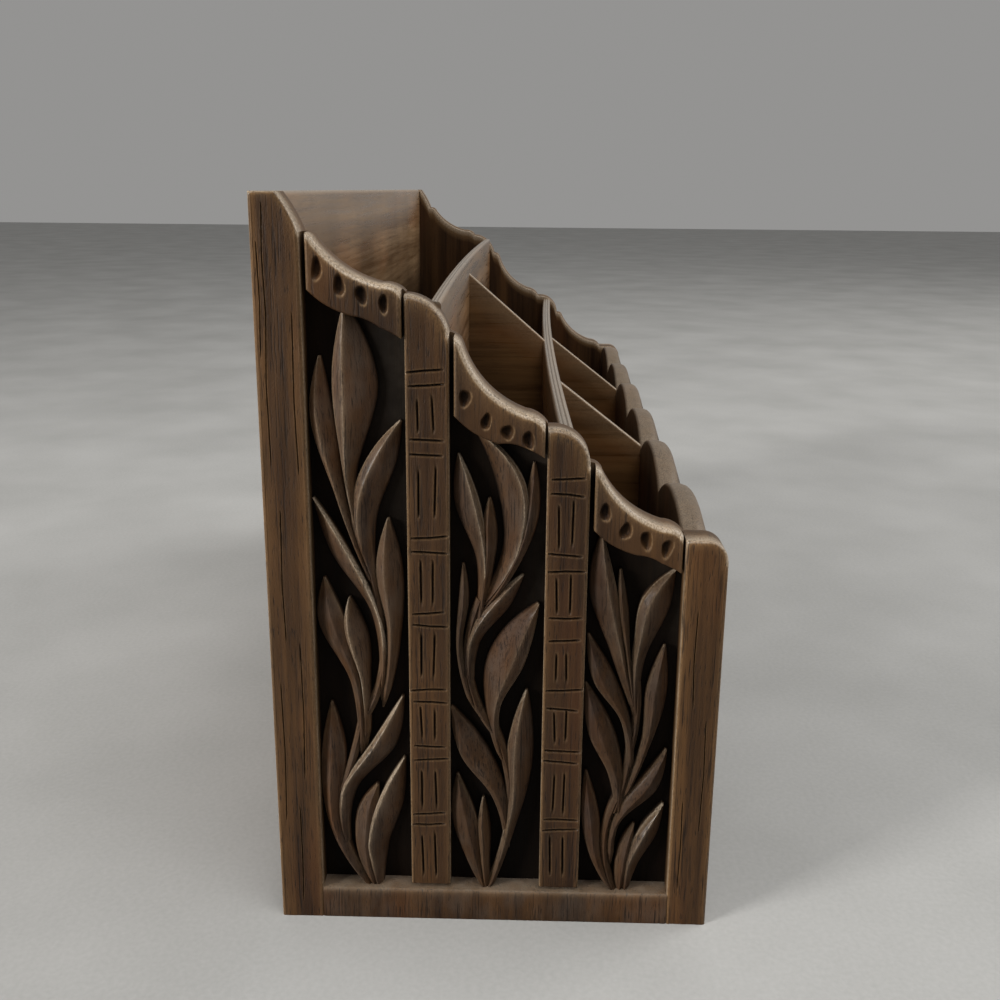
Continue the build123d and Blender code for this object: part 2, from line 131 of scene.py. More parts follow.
def aged_wood(name, dark, light, worn, along="Z", pores=1.0, roughness=0.58, gloss=0.22, bloom=0.0):
    """Old waxed wood with its grain along one axis.

    Broad bands go from dark to light, short drawn-out pores darken the open bands, rubbed arrises
    turn to the worn colour in specks and the most rubbed take a painted pale highlight, low places
    are painted near black and matt as shade and grime, and ledges hold a little grey dust, whose share
    also paints a lit patch of ground.
    """
    material = bpy.data.materials.new(name)
    material.use_nodes = True
    tree = material.node_tree
    shader = tree.nodes["Principled BSDF"]
    run = "XYZ".index(along)

    def drawn(across, lengthwise):
        return [lengthwise if axis == run else across for axis in range(3)]

    bands = grain_noise(tree, drawn(170, 6), 5.0)
    streaks = grain_noise(tree, drawn(900, 26), 3.0, (3, 5, 7))
    fine = grain_noise(tree, drawn(2900, 130), 2.0, (1, 8, 2))
    dashes = grain_noise(tree, drawn(3400, 320), 2.0, (6, 2, 9))
    blotches = grain_noise(tree, (45, 45, 30), 4.0, (9, 4, 6))
    speckle = grain_noise(tree, drawn(3600, 2200), 2.0, (5, 1, 3))
    tone = plus(tree, times(tree, bands, 0.65), times(tree, streaks, 0.35))
    colour = blend_colour(tree, between(tree, tone, 0.38, 0.64), dark, light)
    ruddy = between(tree, grain_noise(tree, drawn(85, 22), 4.0, (4, 9, 1)), 0.5, 0.68, 0.0, 0.34)
    colour = blend_colour(tree, ruddy, colour, (1.2 * light[0], 0.9 * light[1], 0.75 * light[2]))
    shade = between(tree, blotches, 0.32, 0.68, 0.0, 0.5)
    colour = blend_colour(tree, shade, colour, [0.6 * part for part in dark])
    if bloom:
        grey = between(tree, grain_noise(tree, (260, 260, 160), 5.0), 0.4, 0.7, 0.0, bloom)
        colour = blend_colour(tree, grey, colour, bloom_grey)
    wear_and_highlight = painted(tree, "wear_and_highlight")
    rubbed = times(tree, wear_and_highlight, between(tree, speckle, 0.34, 0.62, 0.45, 1.0))
    colour = blend_colour(tree, rubbed, colour, worn)
    # Painted highlight: where the share is high, specks turn pale.
    rim = between(tree, wear_and_highlight, 0.5, 0.95, 0.0, 0.7)
    rim = times(tree, rim, between(tree, speckle, 0.38, 0.62, 0.4, 1.0))
    colour = blend_colour(tree, rim, colour, highlight_pale)
    opened = between(tree, grain_noise(tree, drawn(330, 16), 4.0, (2, 7, 4)), 0.44, 0.6, 0.25, 1.0)
    pore = times(tree, between(tree, fine, 0.54, 0.66, 0.0, 0.8 * pores), opened)
    dash = between(tree, dashes, 0.62, 0.7, 0.0, 0.7 * pores)
    dents = node(tree, "ShaderNodeMath", {0: pore, 1: dash}, operation="MAXIMUM").outputs[0]
    colour = blend_colour(tree, dents, colour, [0.2 * part for part in dark])
    # Painted shade: low places, recesses and cuts are painted near black, matt and dull.
    grime_and_shade = painted(tree, "grime_and_shade")
    colour = blend_colour(tree, times(tree, grime_and_shade, 0.97), colour, grime_and_shade_black)
    fluff = between(tree, grain_noise(tree, (420, 420, 420), 5.0, (7, 3, 5)), 0.36, 0.64, 0.55, 1.0)
    dust_and_light = times(tree, painted(tree, "dust_and_light"), fluff)
    colour = blend_colour(tree, dust_and_light, colour, dust_and_light_grey)
    tree.links.new(colour, shader.inputs["Base Color"])
    shine = between(tree, streaks, 0.2, 0.8, roughness - 0.08, roughness + 0.14)
    tree.links.new(plus(tree, shine, times(tree, grime_and_shade, 0.25)), shader.inputs["Roughness"])
    tree.links.new(between(tree, grime_and_shade, 0.0, 1.0, gloss, 0.03), shader.inputs["Specular IOR Level"])
    tree.links.new(times(tree, wear_and_highlight, 0.6), shader.inputs["Coat Weight"])
    shader.inputs["Coat Roughness"].default_value = 0.28
    relief = plus(tree, times(tree, dents, -0.9), times(tree, streaks, 0.5))
    relief = plus(tree, relief, times(tree, speckle, 0.5 * pores))
    bump = node(tree, "ShaderNodeBump", {"Height": relief, "Strength": 0.4 * pores, "Distance": 0.0003})
    tree.links.new(bump.outputs[0], shader.inputs["Normal"])
    return material


waxed = {"pores": 0.3, "roughness": 0.27, "gloss": 0.4}
base_wood = aged_wood("base_wood", panel_dark, panel_light, panel_worn, along="X", **waxed)
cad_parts["base_board"].data.materials.clear()
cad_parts["base_board"].data.materials.append(base_wood)

# Back panel
# One tall plain board behind everything, let into both ends, with softened top arrises.
# Its inner face is smooth and waxed, with the grain along it. Its wood is painted lighter than the
# panel wood for the light its inner face catches and reflects, and its outer face is painted darker,
# most towards the bottom.
back_arris = 0.9
groove_depth = 0.16
groove_half = 0.13


def box_mm(name):
    """A node's lowest and highest corners in millimetres."""
    low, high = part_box(name)
    return np.array(low) * 1000, np.array(high) * 1000


def eased(distance, radius):
    """How far a quarter-round arris falls below the face at this distance from the edge."""
    inside = radius - np.clip(distance, 0, radius)
    return radius - np.sqrt(np.maximum(radius**2 - inside**2, 0))


def ring_faces(rows, ring):
    """Quads over rows of closed rings, and one flat face at each end."""
    start = np.arange(rows - 1)[:, None] * ring
    here = np.arange(ring)[None, :]
    after = (here + 1) % ring
    quads = np.stack([start + here, start + after, start + ring + after, start + ring + here], -1)
    last = (rows - 1) * ring
    return [quads.reshape(-1, 4), np.arange(ring)[None, ::-1], last + np.arange(ring)[None, :]]


def outward(points, faces):
    """The same faces, turned over if the closed shell they make has a negative volume."""
    volume = 0.0
    for group in faces:
        first = points[group[:, 0]]
        for k in range(1, group.shape[1] - 1):
            turn = np.cross(points[group[:, k]], points[group[:, k + 1]])
            volume += float((first * turn).sum())
    return faces if volume > 0 else [group[:, ::-1] for group in faces]


def make_piece(name, shells, material, replaced, weld=0.0, sharp=32.0):
    """One object from closed shells of points in millimetres, faces and painted shares."""
    points = np.concatenate([shell["points"] for shell in shells])
    corners = []
    counts = []
    offset = 0
    for shell in shells:
        faces = shell["faces"] if weld else outward(shell["points"], shell["faces"])
        for group in faces:
            corners.append((group + offset).ravel())
            counts.append(np.full(len(group), group.shape[1]))
        offset += len(shell["points"])
    corners = np.concatenate(corners)
    counts = np.concatenate(counts)
    mesh = bpy.data.meshes.new(name)
    mesh.vertices.add(len(points))
    mesh.vertices.foreach_set("co", (points / 1000).astype(np.float32).ravel())
    mesh.loops.add(len(corners))
    mesh.loops.foreach_set("vertex_index", corners.astype(np.int32))
    mesh.polygons.add(len(counts))
    starts = np.concatenate([[0], np.cumsum(counts)[:-1]])
    mesh.polygons.foreach_set("loop_start", starts.astype(np.int32))
    mesh.update(calc_edges=True)
    for share in ("wear_and_highlight", "grime_and_shade", "dust_and_light"):
        values = [np.broadcast_to(shell.get(share, 0.0), len(shell["points"])) for shell in shells]
        layer = mesh.attributes.new(share, "FLOAT", "POINT")
        layer.data.foreach_set("value", np.clip(np.concatenate(values), 0, 1).astype(np.float32))
    if weld:
        work = bmesh.new()
        work.from_mesh(mesh)
        bmesh.ops.remove_doubles(work, verts=work.verts, dist=weld / 1000)
        rims = [edge for edge in work.edges if edge.is_boundary]
        bmesh.ops.holes_fill(work, edges=rims, sides=0)
        bmesh.ops.recalc_face_normals(work, faces=work.faces)
        work.to_mesh(mesh)
        work.free()
    mesh.polygons.foreach_set("use_smooth", np.ones(len(mesh.polygons), dtype=bool))
    mesh.set_sharp_from_angle(angle=math.radians(sharp))
    mesh.materials.append(material)
    piece = bpy.data.objects.new(name, mesh)
    bpy.context.scene.collection.objects.link(piece)
    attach(piece, "root")
    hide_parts(*replaced)
    return piece


def plank(along, low_side, high_side, bottom, top, round_over, grooves=()):
    """A board's skin: an upright section with both top arrises rounded, carried along a line.

    The section goes up the low side, over the top, where fine grooves may run at given shares of
    the thickness, and down the high side. Sides and top may change along the line.
    Points are (along, across, up).
    """
    along, low_side, high_side, top = np.broadcast_arrays(along, low_side, high_side, top)
    rise = np.linspace(0, 1, 14)[:-1]
    share = 0.5 - 0.5 * np.cos(np.pi * np.linspace(0, 1, 37))
    thick = (high_side - low_side)[:, None]
    fall = eased(np.minimum(share, 1 - share) * thick, round_over)
    for groove in grooves:
        fall = fall + groove_depth * np.exp(-(((share - groove) * thick / groove_half) ** 2))
    ridge = top[:, None] - fall
    climb = bottom + (ridge[:, :1] - bottom) * rise
    drop = bottom + (ridge[:, -1:] - bottom) * rise[::-1]
    up = np.concatenate([climb, ridge, drop], 1)
    shares = np.concatenate([np.zeros(13), share, np.ones(13)])
    across = low_side[:, None] + thick * shares
    line = np.broadcast_to(along[:, None], across.shape)
    points = np.stack([line, across, up], -1)
    # The rounded top is worn, and where most worn it takes a painted highlight.
    wear_and_highlight = 0.8 * np.exp(-(top[:, None] - up) / (1.1 * round_over))
    # Painted shade: darker towards the foot and further below the top, as deep in the compartments, and
    # dark in the top grooves.
    grime_and_shade = 0.75 * np.exp(-(up - bottom) / 26.0)
    grime_and_shade = grime_and_shade + 0.8 * np.clip((top[:, None] - up) / 40 - 0.2, 0, 1)
    for groove in grooves:
        place = (shares - groove) * thick / 0.15
        grime_and_shade = grime_and_shade + 0.4 * np.exp(-(place**2)) * (up > top[:, None] - 0.4)
    return {
        "points": points.reshape(-1, 3),
        "faces": ring_faces(*across.shape),
        "wear_and_highlight": wear_and_highlight.ravel(),
        "grime_and_shade": grime_and_shade.ravel(),
    }


low, high = box_mm("back_panel")
length_line = np.linspace(low[0], high[0], 90)
lit_back_dark = (0.17, 0.09, 0.038)
lit_back_light = (0.4, 0.25, 0.13)
lit_back_wood = aged_wood("lit_back_wood", lit_back_dark, lit_back_light, panel_worn, along="X", **waxed)
back = plank(length_line, low[1], high[1], low[2], high[2], back_arris)
behind = back["points"][:, 1] > high[1] - 0.01
# The outer face is painted darker all over, most towards the bottom.
back["grime_and_shade"] = np.where(behind, 0.45 + 0.3 * np.exp(-back["points"][:, 2] / 9.0), back["grime_and_shade"])
make_piece("back_panel_board", [back], lit_back_wood, ["back_panel"])

# Dividers
# Two thin boards across the holder, let into the ends and glued on the base. They have sprung a
# little towards the back, and two fine grooves run along their rubbed top edges, which carry a
# painted pale highlight. Their wood is painted lighter than the panel wood for the light their
# faces catch.
bow = 1.5
divider_round = 0.8
divider_grooves = (0.36, 0.66)
divider_worn_and_lit = (0.36, 0.3, 0.23)
lit_divider_light = (0.35, 0.2, 0.092)
lit_divider_wood = aged_wood("lit_divider_wood", panel_dark, lit_divider_light, divider_worn_and_lit, along="X", **waxed)
for name in ("rear_divider", "front_divider"):
    low, high = box_mm(name)
    span = np.linspace(low[0], high[0], 120)
    sprung = bow * (1 - (span / high[0]) ** 2)
    sides_y = (low[1] + sprung, high[1] - bow + sprung)
    board = plank(span, *sides_y, low[2], high[2], divider_round, divider_grooves)
    make_piece(name + "_board", [board], lit_divider_wood, [name])

# Partitions
# Thin upright boards that split the middle and front bays. Each stands on the base between two
# boards, and its rubbed top edge, painted golden as a highlight, slopes down towards the front.
partition_round = 0.7
rear_drop = 4.2
front_drop = 0.4
notch_drop = 5.2
partition_worn_and_lit = (0.4, 0.29, 0.175)
partition_wood = aged_wood("partition_wood", panel_dark, panel_light, partition_worn_and_lit, along="Y", **waxed)
rear_top = box_mm("rear_divider")[1][2]
mid_top = box_mm("front_divider")[1][2]
front_notch = box_mm("front_panel")[1][2] - notch_drop
partition_ends = {
    "centre_partition": (rear_top - rear_drop, mid_top - front_drop),
    "front_partition_left": (mid_top - rear_drop, front_notch + front_drop),
    "front_partition_right": (mid_top - rear_drop, front_notch + front_drop),
}
for name, (back_end, front_end) in partition_ends.items():
    low, high = box_mm(name)
    forward = np.linspace(low[1], high[1], 24)
    slope = front_end + (back_end - front_end) * (forward - low[1]) / (high[1] - low[1])
    board = plank(forward, low[0], high[0], low[2], slope, partition_round)
    board["points"] = board["points"][:, [1, 0, 2]]
    make_piece(name + "_board", [board], partition_wood, [name])

# Front panel
# One low board across the front, carved with an arched recess under each of six scallops.
# Above the recesses its face leans back to a rolled edge, and it is let into both ends.
carved_dark = (0.022, 0.009, 0.0029)
carved_light = (0.092, 0.0418, 0.013)
carved_worn = (0.26, 0.15, 0.06)
scallop_count = 6
scallop_rise = 6.0
scallop_roll = 1.7
scallop_lean = 2.7
recess_depth = 4.0
band_depth = 8.5
front_post = 7.7
front_rail = 6.5
inner_arris = 0.8


def around(bottom, right, top, left):
    """Four edges of a closed outline joined end to end, without repeating the corners."""
    return np.concatenate([bottom[:-1], right[:-1], top[:-1], left[:-1]])


def scallop_cell(x_start, pitch, face_y, back_y, crest):
    """The skin of one scallop's length of the front panel, open where the next one joins it.

    Rings run from the middle of the recess floor out to its wall, over its rim, across the face
    and to the cell's edge. The face leans back over the top band and ends in a quarter round.
    A second skin goes on over the top and down the inner face to the bottom.
    """
    middle = x_start + pitch / 2
    radius = ((pitch / 2) ** 2 + scallop_rise**2) / (2 * scallop_rise)
    centre = crest - radius
    half = (pitch - front_post) / 2
    arch = radius - band_depth
    steps = np.linspace(0, 1, 49)
    rises = np.linspace(0, 1, 41)

    def outline(side, foot, arc_radius):
        spring = centre + np.sqrt(arc_radius**2 - side**2)
        x = middle - side + 2 * side * steps
        bottom = np.stack([x, np.full_like(x, foot)], -1)
        top = np.stack([x, centre + np.sqrt(arc_radius**2 - (x - middle) ** 2)], -1)[::-1]
        up = foot + (spring - foot) * rises
        right = np.stack([np.full_like(up, middle + side), up], -1)
        left = np.stack([np.full_like(up, middle - side), up], -1)[::-1]
        return around(bottom, right, top, left)

    rim = outline(half, front_rail, arch)
    edge = outline(pitch / 2, 0.0, radius)
    heart = np.array([middle, (front_rail + crest - band_depth) / 2])
    rings = []
    depths = []
    rubbed = []
    shade_rows = []
    # Painted shade: the recess floor, and the lower part of its wall, are painted dark.
    for share in (0.04, 0.3, 0.6, 0.85, 0.985):
        rings.append(heart + (rim - heart) * share)
        depths.append(recess_depth)
        rubbed.append(0.0)
        shade_rows.append(0.85)
    for depth, shade_share in ((2.6, 0.8), (1.2, 0.4), (0.5, 0.1)):
        rings.append(heart + (rim - heart) * (1 - 0.002 * depth))
        depths.append(depth)
        rubbed.append(0.0)
        shade_rows.append(shade_share)
    for share in np.concatenate([[0.03, 0.1, 0.2], np.linspace(0.3, 1.0, 15)]):
        rings.append(rim + (edge - rim) * share)
        depths.append(0.5 * np.clip(1 - share / 0.1, 0, 1) ** 2)
        rubbed.append(0.5 * np.exp(-share / 0.12))
        shade_rows.append(0.0)
    flat = np.array(rings)
    from_top = radius - np.hypot(flat[..., 0] - middle, np.maximum(flat[..., 1] - centre, 0))
    sunk = np.array([np.broadcast_to(depth, len(rim)) for depth in depths])
    lean = scallop_lean * np.clip(1 - from_top / band_depth, 0, 1)
    y = face_y + np.maximum(sunk, lean + eased(from_top, scallop_roll))
    points = np.stack([flat[..., 0], y, flat[..., 1]], -1)
    wear_and_highlight = np.array([np.broadcast_to(value, len(rim)) for value in rubbed])
    grime_and_shade = np.array([np.broadcast_to(value, len(rim)) for value in shade_rows])
    front = {"points": points.reshape(-1, 3), "faces": ring_faces(*sunk.shape)[:2]}
    front["wear_and_highlight"] = (wear_and_highlight + 0.5 * np.exp(-((from_top / 3.0) ** 2))).ravel()
    front["grime_and_shade"] = grime_and_shade.ravel()
    front["dust_and_light"] = (0.28 * np.exp(-((from_top / 3.0) ** 2))).ravel()
    x = x_start + pitch * steps
    top = centre + np.sqrt(radius**2 - (x - middle) ** 2)
    rows = [(face_y + scallop_lean + scallop_roll + 0 * x, top), (back_y - 2 * inner_arris + 0 * x, top)]
    for angle in np.linspace(0, np.pi / 2, 7):
        drop = inner_arris * (1 - np.cos(angle))
        rows.append((back_y - inner_arris * (1 - np.sin(angle)) + 0 * x, top - drop))
    for share in np.linspace(0.9, 0, 14):
        rows.append((back_y + 0 * x, (top - inner_arris) * share))
    rows.append((face_y + 0 * x, 0 * x))
    inner = np.stack([np.stack([x, back_row, up_row], -1) for back_row, up_row in rows])
    height = inner[..., 2]
    shape = inner.shape[:2]
    start = np.arange(shape[0] - 1)[:, None] * shape[1] + np.arange(shape[1] - 1)[None, :]
    quads = np.stack([start, start + 1, start + shape[1] + 1, start + shape[1]], -1).reshape(-1, 4)
    inside = {"points": inner.reshape(-1, 3), "faces": [quads]}
    inside["wear_and_highlight"] = (0.55 * np.exp(-(top[None, :] - height) / 0.7)).ravel()
    # Painted shade: the inner face darkens towards the bottom.
    inside["grime_and_shade"] = (0.6 * np.exp(-height / 12.0)).ravel()
    inside["dust_and_light"] = (0.2 * np.exp(-(top[None, :] - height) / 0.7)).ravel()
    return [front, inside]


front_worn = (0.36, 0.26, 0.165)
front_wood = aged_wood("front_wood", carved_dark, carved_light, front_worn, along="Z", pores=0.8)
low, high = box_mm("front_panel")
inner_half = box_mm("end_board_right")[0][0]
pitch = 2 * inner_half / scallop_count
cells = []
for k in range(scallop_count):
    cells += scallop_cell(-inner_half + k * pitch, pitch, low[1], high[1], high[2])
make_piece("front_panel_carving", cells, front_wood, ["front_panel"], weld=0.004)

# Front leaf sprays
# Carved leaves, one spray in each recess of the front: an upright middle leaf and matching leaves
# on both sides, standing on the recess floor. A stem is its foot, a point on its way and its tip.
# A leaf is its foot, two points up its left edge, its tip, two down its right edge, and its ridge.
stem_half = 0.9
tip_half = 0.22
front_leaf_crest = 3.5
front_spray_width = 34.0
front_spray_height = 66.0
front_leaf_stem = ((0.0, -1.0), (0.0, 18.0), (0.0, 36.0))
front_leaf_middle = ((0.0, 34.0), (-2.5, 43.0), (-3.4, 53.0), (0.0, 62.0), (3.4, 53.0), (2.5, 43.0), 0.0)
front_leaf_half = [
    ((0.0, 2.0), (5.4, 7.4), (9.3, 11.9), (15.0, 17.0), (12.9, 9.3), (8.1, 4.2), 0.2),
    ((0.0, 12.0), (4.5, 20.3), (8.8, 26.0), (15.0, 31.0), (12.6, 23.4), (7.9, 17.5), 0.2),
    ((0.0, 23.0), (4.7, 30.9), (8.6, 37.5), (14.5, 45.0), (13.2, 35.1), (8.5, 27.9), 0.2),
    ((0.0, 33.0), (2.0, 42.2), (4.3, 49.7), (9.0, 58.0), (9.1, 48.3), (6.2, 40.4), 0.2),
]


def through(points, count):
    """A smooth curve through points: cubic pieces whose slopes come from their neighbours."""
    points = np.array(points, float)
    reach = np.concatenate([[0], np.cumsum(np.hypot(*np.diff(points, axis=0).T))])
    slope = np.gradient(points, reach, axis=0, edge_order=2)
    at = np.linspace(0, reach[-1], count)
    k = np.clip(np.searchsorted(reach, at, side="right") - 1, 0, len(reach) - 2)
    span = (reach[k + 1] - reach[k])[:, None]
    t = ((at - reach[k]) / span[:, 0])[:, None]
    start = (1 + 2 * t) * (1 - t) ** 2 * points[k] + t * (1 - t) ** 2 * span * slope[k]
    end = t**2 * (3 - 2 * t) * points[k + 1] + t**2 * (t - 1) * span * slope[k + 1]
    return start + end


def beside(start, end):
    """The direction to the left of the way from one point to another, of length one."""
    way = np.array(end, float) - np.array(start, float)
    return np.array([-way[1], way[0]]) / np.hypot(*way)


def blade(left, right, ridge, top, floor_v):
    """A carved leaf or stem as rings between its two edges, from its foot to its tip.

    Each ring goes up one wall, over a rounded edge, across a full curve that is highest at the
    ridge, and down the other wall. The edge on the ridge's side stands higher than the other one.
    """
    spread = np.linspace(1, -1, 37)
    q = spread - 0.09 * np.sin(2 * np.pi * spread)
    peak = ridge[:, None]
    a = peak + q * (1 - peak * np.sign(q))
    half = (np.linalg.norm(left - right, axis=1) / 2)[:, None]
    tall = top[:, None]
    edge_left = 0.5 + 0.4 * np.maximum(peak, 0) - 0.36 * np.maximum(-peak, 0)
    edge_right = 0.5 + 0.4 * np.maximum(-peak, 0) - 0.36 * np.maximum(peak, 0)
    edge = tall * np.where(q > 0, edge_left, edge_right)
    gap = (1 - np.abs(a)) * half
    soft = np.minimum(0.45, 0.45 * half)
    up = edge + (tall - edge) * (1 - np.abs(q) ** 1.3) - eased(gap, soft)
    wave = np.sin(2.1 * left[:, 1] + 0.9 * left[:, 0])[:, None]
    up = up - 0.05 * (1 + wave * np.cos(3 * q)) * (gap > soft)
    shares = np.concatenate([np.ones((len(left), 2)), a, -np.ones((len(left), 2))], 1)
    lift = np.concatenate([0 * half, 0.5 * up[:, :1], up, 0.5 * up[:, -1:], 0 * half], 1)
    middle = (left + right)[:, None, :] / 2
    flat = middle + (left - right)[:, None, :] / 2 * shares[..., None]
    flat[..., 1] = np.maximum(flat[..., 1], floor_v)
    points = np.concatenate([flat, lift[..., None]], -1)
    # The ridge and the raised edges are worn and carry a painted highlight.
    near_ridge = np.exp(-np.abs(shares - peak) * half / 0.35) * np.clip(3 * np.abs(peak) - 0.6, 0, 1)
    near_edge = np.exp(-(1 - np.abs(shares)) * half / 0.25)
    wear_and_highlight = 0.65 * near_ridge + 0.75 * near_edge * (lift > 0.55 * tall)
    return {
        "points": points.reshape(-1, 3),
        "faces": ring_faces(*lift.shape),
        "wear_and_highlight": wear_and_highlight.ravel(),
        # painted shade: darker towards the foot of the blade, where it meets the ground
        "grime_and_shade": np.clip(1.35 - 2.9 * lift / tall, 0, 1).ravel(),
    }


def stem_blade(foot, way, tip, crest, floor_v):
    """A stem of even width along a curve through three points."""
    line = through([foot, way, tip], 24)
    slope = np.gradient(line, axis=0)
    side = np.stack([-slope[:, 1], slope[:, 0]], -1)
    side *= stem_half / np.linalg.norm(side, axis=1, keepdims=True)
    return blade(line + side, line - side, np.zeros(24), np.full(24, 0.8 * crest), floor_v)


def leaf_blade(foot, left_low, left_high, tip, right_high, right_low, ridge, crest, floor_v, tail):
    """A leaf between two curves, as wide as a stem at its foot, fullest midway and low at its tip.

    Where its foot is well above the floor, a tail goes on from the foot and thins into the stem.
    """
    foot, left_low, left_high, tip = (np.array(point) for point in (foot, left_low, left_high, tip))
    right_high, right_low = np.array(right_high), np.array(right_low)
    foot_side = stem_half * beside(foot, (left_low + right_low) / 2)
    tip_side = tip_half * beside((left_high + right_high) / 2, tip)
    left = through([foot + foot_side, left_low, left_high, tip + tip_side], 48)
    right = through([foot - foot_side, right_low, right_high, tip - tip_side], 48)
    t = np.linspace(0, 1, 48)
    top = crest * (0.8 + 0.8 * t * (1 - t) - 0.28 * t**4)
    sway = ridge * np.clip(3.2 * t, 0, 1)
    if 0 < tail < foot[1]:
        thin = np.linspace(0.08, 1, 13)[:-1, None]
        back = left[0] + right[0] - left[2] - right[2]
        heel = foot + tail * (1 - thin) * back / np.hypot(*back)
        left = np.concatenate([heel + foot_side * thin**0.7, left])
        right = np.concatenate([heel - foot_side * thin**0.7, right])
        top = np.concatenate([top[0] * thin[:, 0] ** 0.6, top])
        sway = np.concatenate([0 * thin[:, 0], sway])
    return blade(left, right, sway, top, floor_v)


def spray_shells(stems, leaves, crest, place, tail=0.0):
    """All stems and leaves of one spray, each a closed shell, put in place by a function."""
    shells = []
    for rank, points in enumerate(stems):
        shells.append(stem_blade(*points, crest, 0.01 * (rank + 1)))
    for rank, points in enumerate(leaves):
        shells.append(leaf_blade(*points, crest, 0.01 * (rank + 5), tail))
    for shell in shells:
        shell["points"] = place(shell["points"])
    return shells


def mirrored(foot, left_low, left_high, tip, right_high, right_low, ridge):
    """The same leaf on the other side of the middle."""
    points = [(-u, v) for u, v in (foot, right_low, right_high, tip, left_high, left_low)]
    return (*points, -ridge)


leaf_dark = (0.027, 0.012, 0.005)
leaf_light = (0.1, 0.0482, 0.0192)
leaf_worn = (0.27, 0.19, 0.115)
leaf_wood = aged_wood("leaf_wood", leaf_dark, leaf_light, leaf_worn, along="Z", pores=0.9, bloom=0.28)
front_leaves = [front_leaf_middle] + front_leaf_half + [mirrored(*points) for points in front_leaf_half]
wide_share = (pitch - front_post) / front_spray_width
high_share = (high[2] - band_depth - front_rail) / front_spray_height
ground_y = low[1] + recess_depth
for k in range(scallop_count):
    middle = -inner_half + (k + 0.5) * pitch

    def on_front(points):
        x = middle + points[:, 0] * wide_share
        return np.stack([x, ground_y - points[:, 2], front_rail + points[:, 1] * high_share], -1)

    shells = spray_shells([front_leaf_stem], front_leaves, front_leaf_crest, on_front)
    replaced = [f"front_panel_spray_{k + 1}"]
    make_piece(f"front_panel_leaves_{k + 1}", shells, leaf_wood, replaced)

# End boards
# The smooth inner layer of each end, cut to a stepped outline. The long boards are let into it,
# and the carving is glued on its outer face, whose bare ground is painted almost black as shade,
# with a painted lit patch beside each post and a darker inner face towards the bottom.
# Its posts are trimmed a little below the height of their solids.
upright_names = ("rear_stile", "rear_bamboo_post", "front_bamboo_post", "front_stile")
uprights = [box_mm(name + "_left") for name in upright_names]
back_edge = box_mm("back_panel")[1][1]
starts = [back_edge - high[1] for low, high in uprights]
ends = [back_edge - low[1] for low, high in uprights]
top_cuts = (0.0, 0.4, 1.2, 0.0)
tops = [high[2] - cut for (low, high), cut in zip(uprights, top_cuts)]
upright_levels = (4.6, 0.8, 0.8, 4.0)
shoulder_falls = (6.6, 6.6, 6.6, 4.0)
shoulder_bulges = (0.3, 1.5, 2.0, 1.1)
cap_step = 0.3
knob_length = 2.4
knob_share = 0.14
nose_length = 4.0
nose_share = 0.15
round_bulge = 0.5
hollow_share = 0.16
board_arris = 0.9
rebate_gap = 0.05
board_low, board_high = box_mm("end_board_right")
ground_x = board_high[0]
board_thickness = board_high[0] - board_low[0]
sides = (("left", -1), ("right", 1))


def arc(start, end, bulge, count):
    """Points on a circular arc between two points, which rises by bulge to the left of the way."""
    start, end = np.array(start, float), np.array(end, float)
    chord = end - start
    length = np.hypot(*chord)
    normal = np.array([-chord[1], chord[0]]) / length
    radius = (length**2 / 4 + bulge**2) / (2 * abs(bulge))
    side = np.sign(bulge)
    centre = (start + end) / 2 - normal * side * (radius - abs(bulge))
    sweep = 2 * np.arcsin(length / 2 / radius)
    angle = np.linspace(-0.5, 0.5, count) * sweep * -side
    out = normal * side * radius
    x = np.cos(angle) * out[0] - np.sin(angle) * out[1]
    y = np.sin(angle) * out[0] + np.cos(angle) * out[1]
    return centre + np.stack([x, y], -1)


def upright_line(i):
    """The top of an upright: level, then a rounded shoulder down to its front edge."""
    turn = starts[i] + upright_levels[i]
    level = np.stack([np.linspace(starts[i], turn, 5), np.full(5, tops[i])], -1)
    shoulder = arc((turn, tops[i]), (ends[i], tops[i] - shoulder_falls[i]), shoulder_bulges[i], 22)
    return np.concatenate([level[:-1], shoulder])


def cap_line(i):
    """The top of a cap: a knob below the upright behind it, a hollow, then a rounded nose."""
    start = np.array([ends[i], tops[i] - shoulder_falls[i]])
    end = np.array([starts[i + 1], tops[i + 1] + cap_step])
    fall = start[1] - end[1]
    knob_end = start + (knob_length, -knob_share * fall)
    nose = end + (-nose_length, nose_share * fall)
    knob = arc(start, knob_end, round_bulge, 8)
    hollow = arc(knob_end, nose, -hollow_share * (knob_end[1] - nose[1]), 24)
    return np.concatenate([knob, hollow[1:], arc(nose, end, round_bulge, 10)[1:]])


def end_outline():
    """The stepped top of an end from back to front, never running backwards."""
    line = [upright_line(0)]
    for i in range(3):
        line += [cap_line(i)[1:], upright_line(i + 1)]
    line = np.concatenate(line)
    along = np.maximum.accumulate(line[:, 0]) + 0.012 * np.linspace(0, 1, len(line))
    along = starts[0] + (along - along[0]) * (ends[3] - starts[0]) / (along[-1] - along[0])
    return np.stack([along, line[:, 1]], -1)


def on_end(side):
    """Places points (along from the back, up, out from the ground) on the left or right end."""

    def place(points):
        return np.stack([side * (ground_x + points[:, 2]), back_edge - points[:, 0], points[:, 1]], -1)

    return place


def on_both_ends(shell, part, kind, wood):
    """Makes a shell drawn for an end into two pieces, one on the left end and one on the right."""
    for name, side in sides:
        placed = dict(shell, points=on_end(side)(shell["points"]))
        make_piece(f"{part}_{name}_{kind}", [placed], wood, [f"{part}_{name}"])


